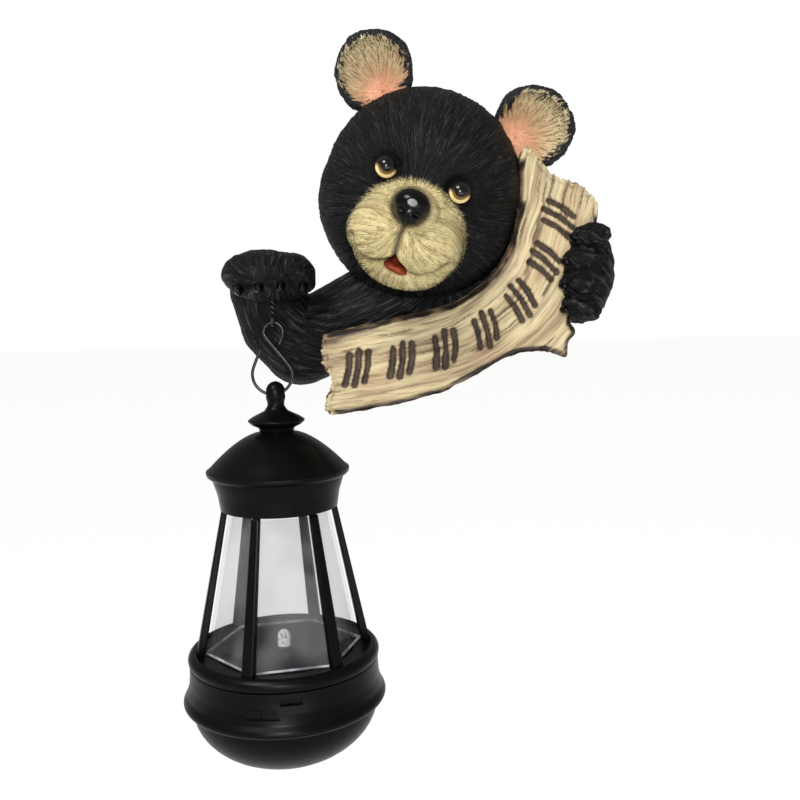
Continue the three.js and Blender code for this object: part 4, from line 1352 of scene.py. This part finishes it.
moved[:, 1] += drop
moved[:, 2] += outward * splinter * run_z
reshape_to(board, moved)
bark = np.maximum(ease(bark_gap, 2.1, 1.3) * ease(torn_gap, 0.8, 2.4), 1 - face)
rim_line = np.exp(-((inner_gap - 2.6) / 0.5) ** 2) * face * ease(torn_gap, 2, 6)
fibre_stretch = 22
store_vectors(board, timber_place=np.stack([along / fibre_stretch, across, y], axis=1))
store(board, grain=grain_fine, wide=grain_wide, bark=bark, marks=marks,
      crack=np.maximum(crack, 0.55 * rim_line), rough=bark_rough)

# %% [markdown]
# The timber's paint is a cream wash over brown. The brown stays in the grain and is brushed along
# the edges. The strokes are filled with dark brown.

# %% Board paint
timber = material("painted_timber", (0.6, 0.45, 0.25), 0.6, Specular_IOR_Level=0.3)
wash = ramp(timber, attribute(timber, "grain"), [
    (0.12, (0.10, 0.062, 0.030)), (0.36, (0.24, 0.182, 0.098)), (0.7, (0.385, 0.318, 0.175)),
])
wide_wash = ramp(timber, attribute(timber, "wide"), [
    (0.15, (0.18, 0.122, 0.072)), (0.5, (0.32, 0.258, 0.145)), (0.85, (0.44, 0.375, 0.225)),
])
wood = mixed(timber, 0.45, wash, wide_wash)
fibre = add_node(timber, "ShaderNodeTexNoise", Scale=2.6, Detail=3.0)
fibre_place = add_node(timber, "ShaderNodeAttribute", attribute_name="timber_place")
wire(timber, fibre_place.outputs["Vector"], fibre.inputs["Vector"])
bump(timber, fibre.outputs["Fac"], 0.0003, 1.0)
wood = mixed(timber, spread(timber, fibre.outputs["Fac"], 0.44, 0.30, 0, 0.75), wood, (0.13, 0.082, 0.045))
blush = spread(timber, noise(timber, 38.0, 3.0), 0.52, 0.72, 0, 0.4)
wood = mixed(timber, blush, wood, (0.44, 0.26, 0.155))
wood = mixed(timber, spread(timber, attribute(timber, "crack"), 0, 1, 0, 0.8), wood, (0.07, 0.04, 0.022))
bark_color = ramp(timber, attribute(timber, "rough"), [
    (0.2, (0.012, 0.008, 0.006)), (0.55, (0.040, 0.026, 0.017)), (0.9, (0.16, 0.105, 0.06)),
])
wood = mixed(timber, attribute(timber, "bark"), wood, bark_color)
ink = ramp(timber, noise(timber, 260.0, 4.0), [(0.3, (0.012, 0.007, 0.004)), (0.75, (0.046, 0.028, 0.016))])
wood = mixed(timber, attribute(timber, "marks"), wood, ink)
drive(timber, "Base Color", wood)
finish(board, timber, "painted_resin", "bear_and_board")

# %% [markdown]
# The figure hangs well above a plain white floor. A broad window lights it from the upper left, a
# small lamp behind the camera puts a spark in the eyes, and a low strip shows the lantern's curves.
# The sky looks white to the camera and through the clear lamp, but it lights the figure only softly.

# %% Floor and lights
bpy.ops.object.select_all(action="DESELECT")
bpy.ops.mesh.primitive_plane_add(size=60, location=(0, 0, cad_box[0].z - 0.95))
floor = bpy.context.object
floor.name = "floor"
floor.data.materials.append(material("pale_floor", (0.93, 0.93, 0.92), 0.8))

world = bpy.data.worlds.new("studio")
bpy.context.scene.world = world
world.use_nodes = True
sky_on_figure, sky_as_seen = 0.40, 1.0
backdrop = world.node_tree.nodes["Background"]
backdrop.inputs["Color"].default_value = (1, 1, 1, 1)
seen = add_node(world, "ShaderNodeLightPath")
level = add_node(world, "ShaderNodeMapRange")
level.inputs["To Min"].default_value = sky_on_figure
level.inputs["To Max"].default_value = sky_as_seen
clear = add_node(world, "ShaderNodeMath", operation="MAXIMUM")
wire(world, seen.outputs["Is Camera Ray"], clear.inputs[0])
wire(world, seen.outputs["Is Transmission Ray"], clear.inputs[1])
wire(world, clear.outputs[0], level.inputs["Value"])
wire(world, level.outputs["Result"], backdrop.inputs["Strength"])


def area_light(name, place, target, size, power):
    data = bpy.data.lights.new(name, "AREA")
    data.shape = "RECTANGLE"
    data.size, data.size_y = size
    data.energy = power
    light = bpy.data.objects.new(name, data)
    light.location = place
    light.rotation_euler = (Vector(target) - Vector(place)).to_track_quat("-Z", "Y").to_euler()
    bpy.context.scene.collection.objects.link(light)


sun_data = bpy.data.lights.new("window", "SUN")
sun_data.energy = 2.9
sun_data.angle = math.radians(22)
sun = bpy.data.objects.new("window", sun_data)
sun.rotation_euler = Vector((0.45, 0.75, -1.0)).to_track_quat("-Z", "Y").to_euler()
bpy.context.scene.collection.objects.link(sun)
area_light("key", (-0.03, -0.8, 0.06), (0, 0, -0.03), (0.15, 0.15), 5)
area_light("low_strip", (0.15, -1.1, -0.42), (-0.03, 0, -0.14), (0.9, 0.10), 3.5)
